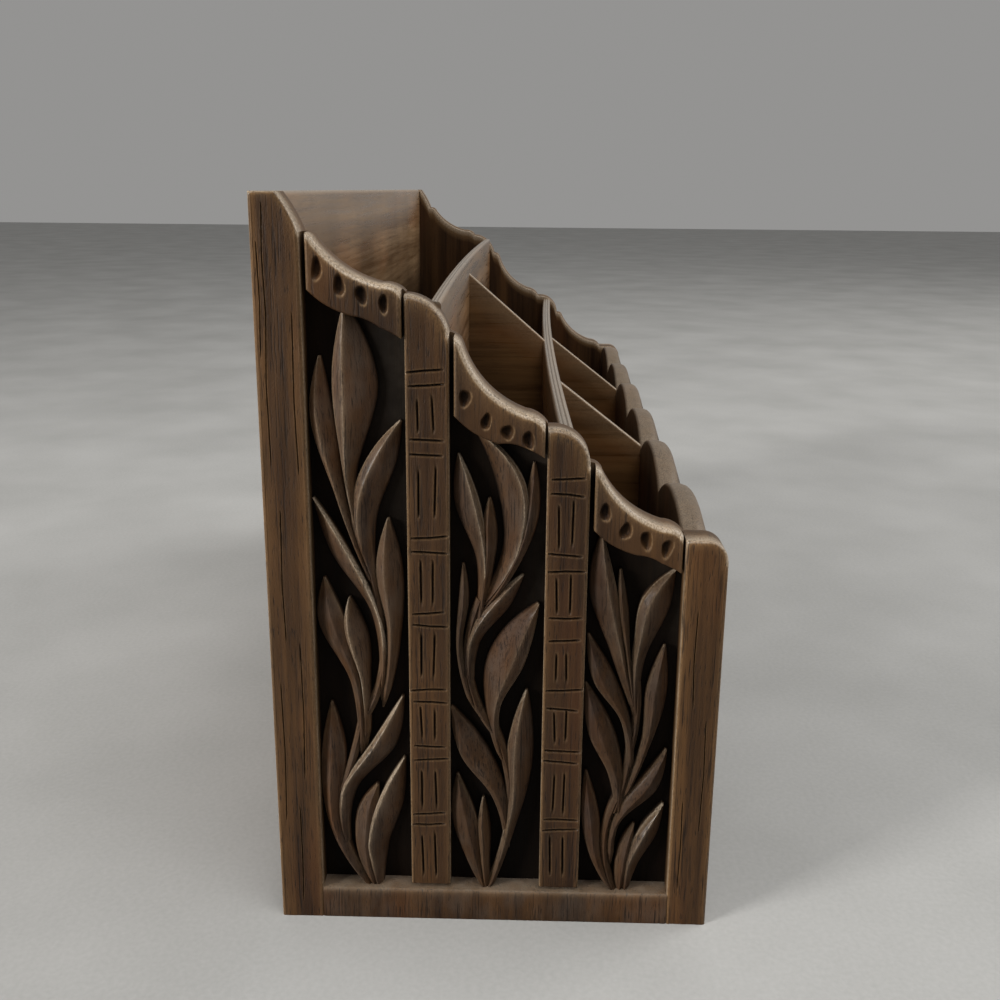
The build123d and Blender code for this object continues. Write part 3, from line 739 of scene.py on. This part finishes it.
def end_board_shell():
    """The end board: an upright section with a rounded inner arris, carried along the outline."""
    line = end_outline()
    slope = np.gradient(line, axis=0)
    slope /= np.linalg.norm(slope, axis=1, keepdims=True)
    inward = np.stack([slope[:, 1], -slope[:, 0]], -1)
    rows = []
    for share in np.linspace(0, 0.97, 10):
        # Painted shade: the bare ground of the outer face is painted almost black.
        rows.append((line[:, 0], line[:, 1] * share, 0.0, 0.0, 0.95))
    rows.append((line[:, 0], line[:, 1], 0.0, 0.5, 0.0))
    rows.append((line[:, 0], line[:, 1], -0.4 * board_thickness, 0.3, 0.0))
    for angle in np.linspace(0, np.pi / 2, 6):
        moved = line + inward * board_arris * (1 - np.cos(angle))
        out = -board_thickness + board_arris * (1 - np.sin(angle))
        rows.append((moved[:, 0], moved[:, 1], out, 0.35 + 0.5 * np.sin(angle), 0.0))
    # Painted shade: the inner face darkens towards the bottom.
    for share in np.linspace(0.97, 0, 12):
        up = (line[:, 1] - board_arris) * share
        rows.append((line[:, 0], up, -board_thickness, 0.0, 0.75 * (1 - share) ** 2))
    sheet = [np.stack([along, up, np.full_like(along, out)], -1) for along, up, out, wear_and_highlight, grime_and_shade in rows]
    points = np.stack(sheet, 1)
    points[..., 0] = np.clip(points[..., 0], starts[0] + rebate_gap, ends[3])
    points[..., 1] = np.minimum(points[..., 1], tops[0] - rebate_gap)
    size = points.shape[:2]
    # Painted light: a grey patch on the ground in the upper part of each bay, beside the post, where the
    # light falls.
    lit_ground_beside_post = np.zeros(size)
    for start, end in zip(ends[:3], starts[1:]):
        across = (points[..., 0] - start) / (end - start)
        lit_ground_beside_post += np.clip(2.4 * across - 1.4, 0, 1) * (across < 1)
    outer = np.array([row[4] > 0.9 for row in rows])
    upper = np.clip(2.4 * points[..., 1] / line[:, 1:] - 1.3, 0, 1)
    grime_and_shade = np.broadcast_to([row[4] for row in rows], size).copy()
    grime_and_shade[[0, -1]] = 0.1
    return {
        "points": points.reshape(-1, 3),
        "faces": ring_faces(*size),
        "wear_and_highlight": np.broadcast_to([row[3] for row in rows], size).ravel(),
        "grime_and_shade": grime_and_shade.ravel(),
        "dust_and_light": (0.06 * lit_ground_beside_post * upper * outer).ravel(),
    }


end_wood = aged_wood("end_wood", carved_dark, carved_light, carved_worn, pores=0.4, roughness=0.45)
on_both_ends(end_board_shell(), "end_board", "layer", end_wood)

# Stiles and bottom rails
# The plain frame of each end: a stile at the back and front corners and a rail between their
# feet, glued on the end board. Their rubbed faces show open grain and a few drying cracks.
stile_arris = 0.6
stile_rolls = {0: 0.7, 3: 1.0}
rail_arris = 0.7
crack_half = 0.12
crack_depth = 0.35
stile_cracks = {
    0: [
        ((2.3, 137.5), (2.0, 129.0), (2.25, 119.0), (1.75, 107.0), (1.95, 93.0)),
        ((1.1, 131.0), (1.3, 121.0), (1.0, 112.0)),
        ((6.7, 119.0), (6.5, 104.0), (6.8, 91.0)),
        ((3.2, 84.0), (2.9, 70.0), (3.2, 59.0)),
        ((5.7, 58.0), (5.9, 44.0), (5.6, 31.0)),
        ((1.8, 50.0), (2.0, 36.0), (1.7, 22.0)),
        ((4.4, 24.0), (4.5, 13.0), (4.3, 4.0)),
    ],
    3: [
        ((79.0, 66.0), (78.8, 56.0), (79.1, 47.0)),
        ((81.7, 44.0), (81.9, 33.0), (81.6, 21.0)),
        ((78.2, 27.0), (78.3, 17.0), (78.1, 8.0)),
    ],
}


def slab(along, up, out):
    """A closed carved slab: its face as a grid, a wall from its edge to the ground, and its back.

    Gives the points, the faces, and which points of the face the wall starts from.
    """
    rows, columns = along.shape
    face = np.stack([along, up, out], -1).reshape(-1, 3)
    number = np.arange(rows * columns).reshape(rows, columns)
    rim = np.concatenate([number[0, :-1], number[:-1, -1], number[-1, :0:-1], number[:0:-1, 0]])
    foot = face[rim] * (1, 1, 0)
    below = rows * columns + np.arange(len(rim))
    quads = np.stack([number[:-1, :-1], number[:-1, 1:], number[1:, 1:], number[1:, :-1]], -1)
    after = np.roll(np.arange(len(rim)), -1)
    wall = np.stack([rim, below, below[after], rim[after]], -1)
    return np.concatenate([face, foot]), [quads.reshape(-1, 4), wall, below[None, :]], rim


def line_gap(along, up, line):
    """The distance from each place to a line of straight pieces."""
    line = np.array(line)
    place = np.stack([along, up], -1)[..., None, :]
    run = np.diff(line, axis=0)
    share = np.clip(((place - line[:-1]) * run).sum(-1) / (run**2).sum(-1), 0, 1)
    near = line[:-1] + run * share[..., None]
    return np.sqrt(((place - near) ** 2).sum(-1)).min(-1)


def scratch(along, up, path, half_width):
    """How deep a cut along a path is at each place: 1 on the path, 0 at its sides, less at its ends."""
    ends_gap = [np.hypot(along - u, up - v) for u, v in (path[0], path[-1])]
    taper = np.clip(np.minimum(*ends_gap) / 1.2 + 0.4, 0, 1)
    return np.clip(1.25 - 1.25 * line_gap(along, up, path) / half_width, 0, 1) * taper


def upright_shell(i, foot, height, soft, roll, heights, cuts, cut_half, cut_depth):
    """An upright's face between rounded arrises and below its rolled top, with cuts along paths.

    Rows are level up to the foot of the shoulder, and above it they bend to the top's own line.
    """
    line = upright_line(i)
    edge = soft * (1 - np.cos(np.linspace(0, np.pi / 2, 7)))
    plain = np.linspace(starts[i] + soft, ends[i] - soft, 90)[1:-1]
    across = np.concatenate([starts[i] + edge, plain, (ends[i] - edge)[::-1]])
    top = np.interp(across, line[:, 0], line[:, 1])
    join = top.min() - 1.5
    level = heights[(heights >= foot) & (heights < join - 0.2)]
    level = np.broadcast_to(level[:, None], (len(level), len(across)))
    share = np.sin(np.pi / 2 * np.linspace(0, 1, 34))[:, None]
    up = np.concatenate([level, join + (top - join) * share])
    along = np.broadcast_to(across, up.shape)
    side_gap = np.minimum(along - starts[i], ends[i] - along)
    top_gap = line_gap(along, up, line)
    out = height - np.maximum(eased(side_gap, soft), eased(top_gap, roll))
    out = out - 0.05 * (1 + np.sin(up / 5.3 + along * 0.7) * np.sin(up / 2.9 - along)) * (side_gap > soft)
    cut = np.zeros_like(up)
    lip = np.zeros_like(up)
    for path in cuts:
        cut = np.maximum(cut, scratch(along, up, path, cut_half))
        lip = np.maximum(lip, scratch(along, up, path, 2.2 * cut_half))
    points, faces, rim = slab(along, up, out - cut_depth * cut)
    # Arrises and the rolled top are worn; the lips of the cuts are painted lighter, as wear and as a
    # painted highlight.
    wear_and_highlight = 0.8 * np.exp(-side_gap / (0.6 * soft)) + np.exp(-top_gap / (0.65 * roll)) + 0.35 * lip
    on_top = top_gap.ravel()[rim] < 0.01
    return {
        "points": points,
        "faces": faces,
        "wear_and_highlight": np.concatenate([(wear_and_highlight * (1 - cut)).ravel(), np.where(on_top, 0.5, 0.0)]),
        # painted shade: dark in the cuts and on the walls down to the ground
        "grime_and_shade": np.concatenate([np.clip(1.2 * cut, 0, 1).ravel(), np.where(on_top, 0.0, 0.85)]),
    }


stile_light = (0.12, 0.057, 0.0188)
stile_wood = aged_wood("stile_wood", carved_dark, stile_light, carved_worn, along="Z")
carving = box_mm("rear_stile_right")[1][0] - ground_x
for i, part in ((0, "rear_stile"), (3, "front_stile")):
    heights = np.linspace(0, tops[i], 170)
    sizes = (0.0, carving, stile_arris, stile_rolls[i])
    shell = upright_shell(i, *sizes, heights, stile_cracks[i], crack_half, crack_depth)
    on_both_ends(shell, part, "upright", stile_wood)

rail_top = box_mm("bottom_rail_left")[1][2]


def rail_shell():
    """The rail: a low face with a rounded top arris, and grey dust along its ledge."""
    across = np.linspace(ends[0], starts[3], 170)
    turn = rail_arris * np.sin(np.linspace(0, np.pi / 2, 9))
    rise = np.concatenate([np.linspace(0, rail_top - rail_arris, 14)[:-1], rail_top - rail_arris + turn])
    along, up = np.meshgrid(across, rise)
    out = carving - eased(rail_top - up, rail_arris) - 0.05 * (1 + np.sin(along / 2.1) * np.sin(up))
    points, faces, rim = slab(along, up, out)
    ledge = up.ravel()[rim] > rail_top - 0.01
    top_gap = (rail_top - up).ravel()
    return {
        "points": points,
        "faces": faces,
        "wear_and_highlight": np.concatenate([0.35 * np.exp(-top_gap / 0.7), np.zeros(len(rim))]),
        # painted shade: darker at the rail's foot and on its walls down to the ground
        "grime_and_shade": np.concatenate([0.25 * np.exp(-up.ravel() / 1.5), np.where(ledge, 0.0, 0.8)]),
        "dust_and_light": np.concatenate([0.3 * np.exp(-top_gap / 0.4), np.where(ledge, 0.36, 0.0)]),
    }


rail_wood = aged_wood("rail_wood", carved_dark, carved_light, carved_worn, along="Z", bloom=0.25)
on_both_ends(rail_shell(), "bottom_rail", "bar", rail_wood)

# Bamboo posts
# Two posts on each end, carved like bamboo: pairs of cuts across mark the joints, and pairs of
# short upright cuts fill the stretches between them.
post_arris = 0.5
post_roll = 1.5
cut_half = 0.27
cut_depth = 0.5
post_cuts = {
    1: {
        "across": [
            109.5, 107.0, 97.2, 94.5, 79.2, 76.3, 64.5, 62.0, 49.0, 46.5, 37.3, 34.5, 22.8, 20.5,
        ],
        "upright": [(98.5, 104.5), (83, 92), (67, 74.5), (51.5, 60), (39, 45), (24, 31.5), (9, 18)],
        "lines": (2.4, 4.8),
    },
    2: {
        "across": [90.5, 87.5, 76.2, 73.0, 64.0, 59.5, 49.5, 45.5, 36.8, 34.5, 22.0, 19.8],
        "upright": [(78, 86), (65, 72), (51.5, 57), (39, 45), (24, 32), (10, 18)],
        "lines": (2.3, 4.6),
    },
}
post_wood = aged_wood("post_wood", carved_dark, carved_light, carved_worn, along="Z")
post_height = box_mm("rear_bamboo_post_right")[1][0] - ground_x
for i, part in ((1, "rear_bamboo_post"), (2, "front_bamboo_post")):
    draw = np.random.default_rng(40 + i)
    cuts = []
    dense = [np.linspace(rail_top, tops[i], 150)]
    for height in post_cuts[i]["across"]:
        tilt = draw.uniform(-0.6, 0.6)
        sag = draw.uniform(-0.15, 0.15)
        first = starts[i] + draw.uniform(0.3, 1.1)
        last = ends[i] - draw.uniform(0.3, 1.3)
        middle = ((first + last) / 2, height + sag)
        cuts.append(((first, height - tilt / 2), middle, (last, height + tilt / 2)))
        dense.append(np.arange(height - 0.8, height + 0.8, 0.1))
    for low_end, high_end in post_cuts[i]["upright"]:
        for offset in post_cuts[i]["lines"]:
            along = starts[i] + offset + draw.uniform(-0.25, 0.25)
            low_cut = (along, low_end + draw.uniform(-0.6, 0.6))
            cuts.append((low_cut, (along + draw.uniform(-0.3, 0.3), high_end + draw.uniform(-0.6, 0.6))))
    heights = np.unique(np.round(np.concatenate(dense), 3))
    sizes = (rail_top, post_height, post_arris, post_roll)
    shell = upright_shell(i, *sizes, heights, cuts, cut_half, cut_depth)
    on_both_ends(shell, part, "carving", post_wood)

# Caps
# A wavy block above each bay of an end, with a row of blind dimples and an open joint at each
# end. Its rolled top is rubbed to a golden colour under a painted pale highlight, and each dimple
# is painted dark on its upper side as shade, with a painted highlight on its lower front lip.
cap_rear_gap = 0.9
cap_front_gap = 0.5
cap_front_depth = 7.4
cap_fall = 8.6
cap_toe = 0.7
cap_bend = 0.36
cap_heel = (-4.2, 1.5 + cap_toe)
cap_bulges = (-0.9, 0.35, 0.15)
cap_roll = 1.5
cap_lifts = ((0.6, 0.6, 0.3), (2.2, 1.6, 2.6), (1.4, 1.3, 1.4))
dimple_places = (0.16, 0.375, 0.59, 0.805)
dimple_half = (1.0, 1.7)
dimple_sinks = (-0.6, 1.3, 0.2)
dimple_depth = 1.0
cap_light = (0.08, 0.0365, 0.0118)
cap_worn = (0.34, 0.21, 0.1)
cap_wood = aged_wood("cap_wood", carved_dark, cap_light, cap_worn, along="Z", pores=0.8, roughness=0.5)
cap_height = box_mm("rear_cap_right")[1][0] - ground_x


def cap_lower(i):
    """The lower edge of a cap, a shallow wave that falls to a toe at its front end."""
    rear_lift, middle_lift, front_lift = cap_lifts[i]
    level = tops[i + 1] - cap_front_depth
    start = np.array([ends[i], level + cap_fall + rear_lift])
    toe = np.array([starts[i + 1], level - cap_toe + front_lift])
    middle = np.array([(start[0] + toe[0]) / 2, level + cap_bend * cap_fall + middle_lift])
    heel = toe + cap_heel
    rear = arc(start, middle, cap_bulges[0], 20)
    swell = arc(middle, heel, cap_bulges[1], 14)
    return np.concatenate([rear, swell[1:], arc(heel, toe, cap_bulges[2], 10)[1:]])


def cap_shell(i):
    """A cap between its two edges, rolled over at the top, with dimples sunk along its middle."""
    first = ends[i] + cap_rear_gap
    last = starts[i + 1] - cap_front_gap
    line = cap_line(i)
    edge = 0.5 * (1 - np.cos(np.linspace(0, np.pi / 2, 6)))
    plain = np.linspace(first + 0.5, last - 0.5, 150)[1:-1]
    across = np.concatenate([first + edge, plain, (last - edge)[::-1]])
    upper = np.interp(across, line[:, 0], line[:, 1])
    lower = np.interp(across, *cap_lower(i).T)
    share = 0.5 - 0.5 * np.cos(np.pi * np.linspace(0, 1, 90))
    up = lower + (upper - lower) * share[:, None]
    along = np.broadcast_to(across, up.shape)
    end_gap = np.minimum(along - first, last - along)
    top_gap = line_gap(along, up, line)
    fall = np.maximum(eased(top_gap, cap_roll), eased(end_gap, 0.5))
    out = cap_height - np.maximum(fall, eased(up - lower, 0.45))
    out = out - 0.05 * (1 + np.sin(along * 1.1 + up * 0.4)) * (end_gap > 0.5)
    sunk = np.zeros_like(up)
    lip = np.zeros_like(up)
    shade_share = np.zeros_like(up)
    draw = np.random.default_rng(70 + i)
    for place in dimple_places:
        where = ends[i] + place * (starts[i + 1] - ends[i])
        level = (np.interp(where, across, upper) + np.interp(where, across, lower)) / 2 - dimple_sinks[i]
        aside = (along - where) / (dimple_half[0] * draw.uniform(0.85, 1.15))
        above = (up - level) / (dimple_half[1] * draw.uniform(0.85, 1.15))
        turned = np.arctan2(above, aside)
        reach = np.hypot(aside, above) * (1 + 0.13 * np.sin(2 * turned + draw.uniform(0, 6)))
        reach = reach * (1 + 0.08 * np.sin(3 * turned + draw.uniform(0, 6)))
        pit = np.clip(1.3 * (1 - reach**2), 0, 1)
        sunk = np.maximum(sunk, pit)
        # Painted shade on the upper rear of each dimple, and a painted highlight on its lower front lip.
        shade_share = np.maximum(shade_share, pit * np.clip(0.6 + 0.4 * above - 0.3 * aside, 0, 1))
        lip = np.maximum(lip, np.exp(-(((reach - 1.08) / 0.13) ** 2)) * np.clip(aside - above, 0, 1))
    points, faces, rim = slab(along, up, out - dimple_depth * sunk)
    wear_and_highlight = np.exp(-(((top_gap - 0.4) / 0.5) ** 2)) + 0.35 * np.exp(-top_gap / 1.5)
    wear_and_highlight += 0.5 * np.exp(-end_gap / 0.35) + 0.45 * lip
    on_top = top_gap.ravel()[rim] < 0.01
    return {
        "points": points,
        "faces": faces,
        "wear_and_highlight": np.concatenate([(wear_and_highlight * (1 - sunk)).ravel(), np.where(on_top, 0.5, 0.0)]),
        # painted shade on the walls down to the ground
        "grime_and_shade": np.concatenate([shade_share.ravel(), np.where(on_top, 0.0, 0.8)]),
    }


for i, part in enumerate(("rear_cap", "middle_cap", "front_cap")):
    on_both_ends(cap_shell(i), part, "block", cap_wood)

# End leaf sprays
# A climbing spray of long leaves in each bay of an end, carved in relief on the dark ground.
# Stems and leaves are drawn from the bay's lower rear corner, and are kept inside the bay.
# A spray's last value is painted shade: the middle and front bays are painted darker, as less light
# reaches them.
leaf_crest = 4.0
leaf_tail = 5.0
bay_clearance = 0.06
rear_end_stems = [
    ((4.1, 20.5), (6.9, 29.5), (9.0, 39.5)),
    ((8.7, 36.0), (11.1, 41.0), (12.7, 49.0)),
    ((12.3, 54.0), (11.4, 62.0), (9.2, 71.0)),
]
rear_end_leaves = [
    ((9.0, -0.5), (1.9, 10.5), (-0.1, 24.5), (2.4, 38.8), (4.8, 30.5), (4.1, 13.5), 0.1),
    ((10.1, -0.5), (6.2, 9.5), (7.3, 17.3), (10.9, 21.4), (11.3, 16.5), (10.7, 6.5), 0.0),
    ((10.9, -0.5), (8.9, 10.0), (11.7, 19.8), (16.3, 27.2), (16.1, 18.0), (12.9, 8.0), 0.8),
    ((4.5, 10.0), (3.9, 20.5), (10.3, 31.3), (16.1, 40.2), (15.0, 30.5), (6.7, 19.8), 0.7),
    ((8.1, 31.0), (6.3, 42.5), (0.1, 57.5), (1.8, 64.0), (5.1, 57.1), (8.9, 42.0), -0.2),
    ((9.0, 33.0), (8.4, 43.0), (5.3, 55.5), (6.4, 60.1), (9.6, 53.8), (10.1, 42.5), 0.6),
    ((12.3, 43.5), (10.3, 56.8), (2.7, 69.5), (0.2, 79.3), (5.7, 71.5), (12.7, 55.0), -0.8),
    ((13.1, 42.0), (13.3, 54.0), (11.5, 66.5), (13.9, 75.6), (16.3, 67.5), (15.9, 52.0), 0.35),
    ((10.5, 64.5), (4.5, 80.0), (0.3, 97.0), (2.3, 105.2), (4.7, 94.5), (6.7, 79.5), 0.4),
    ((10.6, 65.5), (5.7, 87.0), (4.6, 103.5), (7.0, 114.5), (12.4, 102.0), (8.3, 82.0), 0.5),
    ((10.7, 65.5), (7.7, 80.5), (11.3, 88.5), (16.5, 93.8), (15.9, 87.5), (11.9, 76.0), 0.45),
]
middle_end_stems = [
    ((11.1, 12.5), (11.0, 25.5), (8.2, 34.5)),
    ((8.7, 33.0), (4.9, 39.5), (3.2, 47.5)),
    ((3.1, 43.5), (3.4, 52.0), (5.6, 60.5)),
]
middle_end_leaves = [
    ((6.7, -0.5), (2.7, 6.1), (0.0, 16.0), (1.3, 24.0), (4.8, 16.0), (6.7, 5.0), -0.2),
    ((7.0, -0.5), (5.7, 6.0), (5.3, 14.0), (6.4, 19.0), (7.8, 13.0), (7.8, 5.0), 0.3),
    ((11.0, 12.0), (8.1, 19.3), (1.7, 28.7), (0.1, 38.4), (4.7, 33.8), (9.9, 24.0), 0.2),
    ((7.6, -0.5), (11.2, 19.0), (11.0, 31.0), (14.5, 42.0), (16.0, 28.5), (12.4, 11.3), 0.45),
    ((9.7, 29.0), (6.5, 38.8), (6.8, 48.5), (16.4, 59.6), (13.9, 47.5), (9.4, 38.0), -0.35),
    ((3.9, 40.5), (1.1, 50.0), (1.4, 59.5), (2.4, 67.2), (3.5, 61.5), (2.4, 51.0), 0.0),
    ((3.7, 45.0), (4.5, 56.1), (8.8, 61.8), (13.5, 65.1), (11.7, 59.8), (5.5, 51.2), 0.5),
    ((5.1, 55.5), (4.8, 67.5), (0.5, 80.0), (1.5, 88.0), (5.2, 79.8), (6.9, 67.5), -0.6),
    ((5.3, 55.5), (5.9, 67.5), (5.9, 75.5), (7.2, 79.8), (8.7, 73.5), (7.8, 65.3), 0.2),
    ((6.5, 59.0), (11.8, 71.0), (13.7, 81.0), (15.2, 86.5), (16.4, 79.0), (11.9, 65.5), 0.1),
    ((6.1, 59.5), (9.6, 71.5), (8.5, 81.5), (4.5, 92.4), (13.3, 83.7), (11.5, 66.3), -0.7),
]
front_end_stems = [
    ((7.1, -0.5), (4.9, 9.0), (7.2, 20.0)),
    ((6.6, 17.0), (8.6, 25.0), (9.5, 33.5)),
    ((9.3, 30.5), (10.2, 37.5), (9.9, 44.5)),
]
front_end_leaves = [
    ((6.9, -0.5), (2.3, 6.5), (0.2, 15.5), (1.0, 25.2), (3.8, 16.3), (4.7, 6.5), 0.0),
    ((8.2, -0.5), (7.1, 4.5), (8.3, 10.8), (10.7, 14.0), (10.7, 10.5), (9.9, 4.0), 0.0),
    ((9.3, -0.5), (9.1, 7.0), (11.6, 12.8), (16.3, 18.4), (15.6, 12.3), (11.7, 4.3), 0.5),
    ((6.2, 8.0), (7.3, 18.0), (12.1, 24.8), (16.3, 30.2), (15.3, 22.3), (7.7, 13.4), 0.2),
    ((7.5, 17.0), (5.3, 24.5), (1.1, 33.5), (0.4, 43.8), (5.9, 35.0), (8.2, 25.0), 0.1),
    ((9.3, 27.5), (7.3, 36.0), (1.6, 44.8), (0.6, 53.7), (5.0, 47.2), (9.3, 36.0), 0.2),
    ((8.9, 21.5), (11.2, 32.0), (12.0, 44.5), (15.0, 51.8), (15.9, 43.5), (12.3, 28.3), 0.2),
    ((9.4, 40.0), (4.8, 50.1), (0.3, 64.0), (2.5, 73.4), (5.2, 64.5), (8.0, 49.0), -0.4),
    ((9.5, 40.0), (7.6, 49.5), (5.7, 60.5), (6.2, 66.6), (7.8, 60.0), (8.7, 49.5), 0.2),
    ((9.9, 38.5), (9.0, 52.0), (10.8, 62.0), (16.3, 66.7), (15.8, 60.0), (11.5, 48.8), 0.45),
]


def on_bay(i, side):
    """Places a spray's points in a bay of an end, held between the uprights, rail and cap."""
    start, end = ends[i] + bay_clearance, starts[i + 1] - bay_clearance

    def place(points):
        along = np.clip(points[:, 0] + ends[i], start, end)
        ceiling = np.interp(along, *cap_lower(i).T) - bay_clearance
        up = np.minimum(points[:, 1] + rail_top, ceiling)
        return on_end(side)(np.stack([along, up, points[:, 2]], -1))

    return place


sprays = (
    ("rear", rear_end_stems, rear_end_leaves, 0.0),
    ("middle", middle_end_stems, middle_end_leaves, 0.22),
    ("front", front_end_stems, front_end_leaves, 0.32),
)
for i, (part, stems, leaves, bay_shade) in enumerate(sprays):
    for name, side in sides:
        shells = spray_shells(stems, leaves, leaf_crest, on_bay(i, side), leaf_tail)
        # Painted shade: the whole spray is darker by its bay's share.
        for shell in shells:
            shell["grime_and_shade"] = np.clip(shell["grime_and_shade"] + bay_shade, 0, 1)
        make_piece(f"{part}_leaves_{name}", shells, leaf_wood, [f"{part}_leaf_spray_{name}"])

# Floor and light
# A plain pale floor, an even grey sky, a window on the left that rakes the carving, a lamp
# overhead that draws the rubbed rims, and the light of the room from the front.
floor_half = 4.0
floor_pale = (0.5, 0.5, 0.49)
floor_grey = (0.41, 0.41, 0.4)
floor_mesh = bpy.data.meshes.new("floor")
floor_corners = [(x * floor_half, y * floor_half, 0) for x, y in ((-1, -1), (1, -1), (1, 1), (-1, 1))]
floor_mesh.from_pydata(floor_corners, [], [(0, 1, 2, 3)])
floor = bpy.data.objects.new("floor", floor_mesh)
bpy.context.scene.collection.objects.link(floor)
floor_material = bpy.data.materials.new("pale_floor")
floor_material.use_nodes = True
floor_tree = floor_material.node_tree
cloud = grain_noise(floor_tree, (14, 14, 14), 6.0)
fibre = grain_noise(floor_tree, (900, 900, 900), 3.0)
mottle = plus(floor_tree, times(floor_tree, cloud, 0.7), times(floor_tree, fibre, 0.3))
floor_colour = blend_colour(floor_tree, between(floor_tree, mottle, 0.35, 0.65), floor_grey, floor_pale)
floor_shader = floor_tree.nodes["Principled BSDF"]
floor_tree.links.new(floor_colour, floor_shader.inputs["Base Color"])
floor_shader.inputs["Roughness"].default_value = 0.9
floor_shader.inputs["Specular IOR Level"].default_value = 0.2
floor_mesh.materials.append(floor_material)
floor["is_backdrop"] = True

sky_grey = (0.82, 0.81, 0.795, 1)
sky_strength = 0.36
world = bpy.data.worlds.new("studio")
world.use_nodes = True
sky = world.node_tree.nodes["Background"]
sky.inputs["Color"].default_value = sky_grey
sky.inputs["Strength"].default_value = sky_strength
bpy.context.scene.world = world


def soft_lamp(name, place, aim, size, power, colour, spread=180.0):
    """A square area lamp at a place, turned to face a point, that shines within a spread in degrees."""
    light = bpy.data.lights.new(name, "AREA")
    light.shape = "SQUARE"
    light.size = size
    light.spread = math.radians(spread)
    light.energy = power
    light.color = colour
    lamp = bpy.data.objects.new(name, light)
    lamp.location = place
    lamp.rotation_euler = (Vector(aim) - Vector(place)).to_track_quat("-Z", "Y").to_euler()
    bpy.context.scene.collection.objects.link(lamp)


middle_point = (0, 0, 0.07)
soft_lamp("window", (-0.78, 1.05, 0.45), middle_point, 0.36, 4.7, (1.0, 0.98, 0.95), 100.0)
soft_lamp("overhead", (-0.45, -0.25, 1.25), middle_point, 0.6, 6, (1.0, 0.99, 0.97))
soft_lamp("room", (0.3, -1.15, 0.85), middle_point, 0.9, 9, (1.0, 0.98, 0.95))

# Camera
# Beside the left end, a little above the holder and looking slightly down, as in the photograph.
camera_lens = 40.06
camera_sensor = 36.0
camera_place = (-0.3237, -0.0050, 0.1402)
camera_forward = Vector((0.96274, 0.02205, -0.26953))
camera_right = Vector((0.02535, -0.99964, 0.00876))
camera_data = bpy.data.cameras.new("camera")
camera_data.lens = camera_lens
camera_data.sensor_width = camera_sensor
camera = bpy.data.objects.new("camera", camera_data)
camera_up = camera_right.cross(camera_forward)
turn = Matrix((camera_right, camera_up, -camera_forward)).transposed().to_4x4()
camera.matrix_world = Matrix.Translation(camera_place) @ turn
bpy.context.scene.collection.objects.link(camera)
bpy.context.scene.camera = camera
bpy.context.scene.view_settings.view_transform = "Standard"

boxes = {"cad": cad_box, "visual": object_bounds()}
{name: [list(corner) for corner in box] for name, box in boxes.items()}
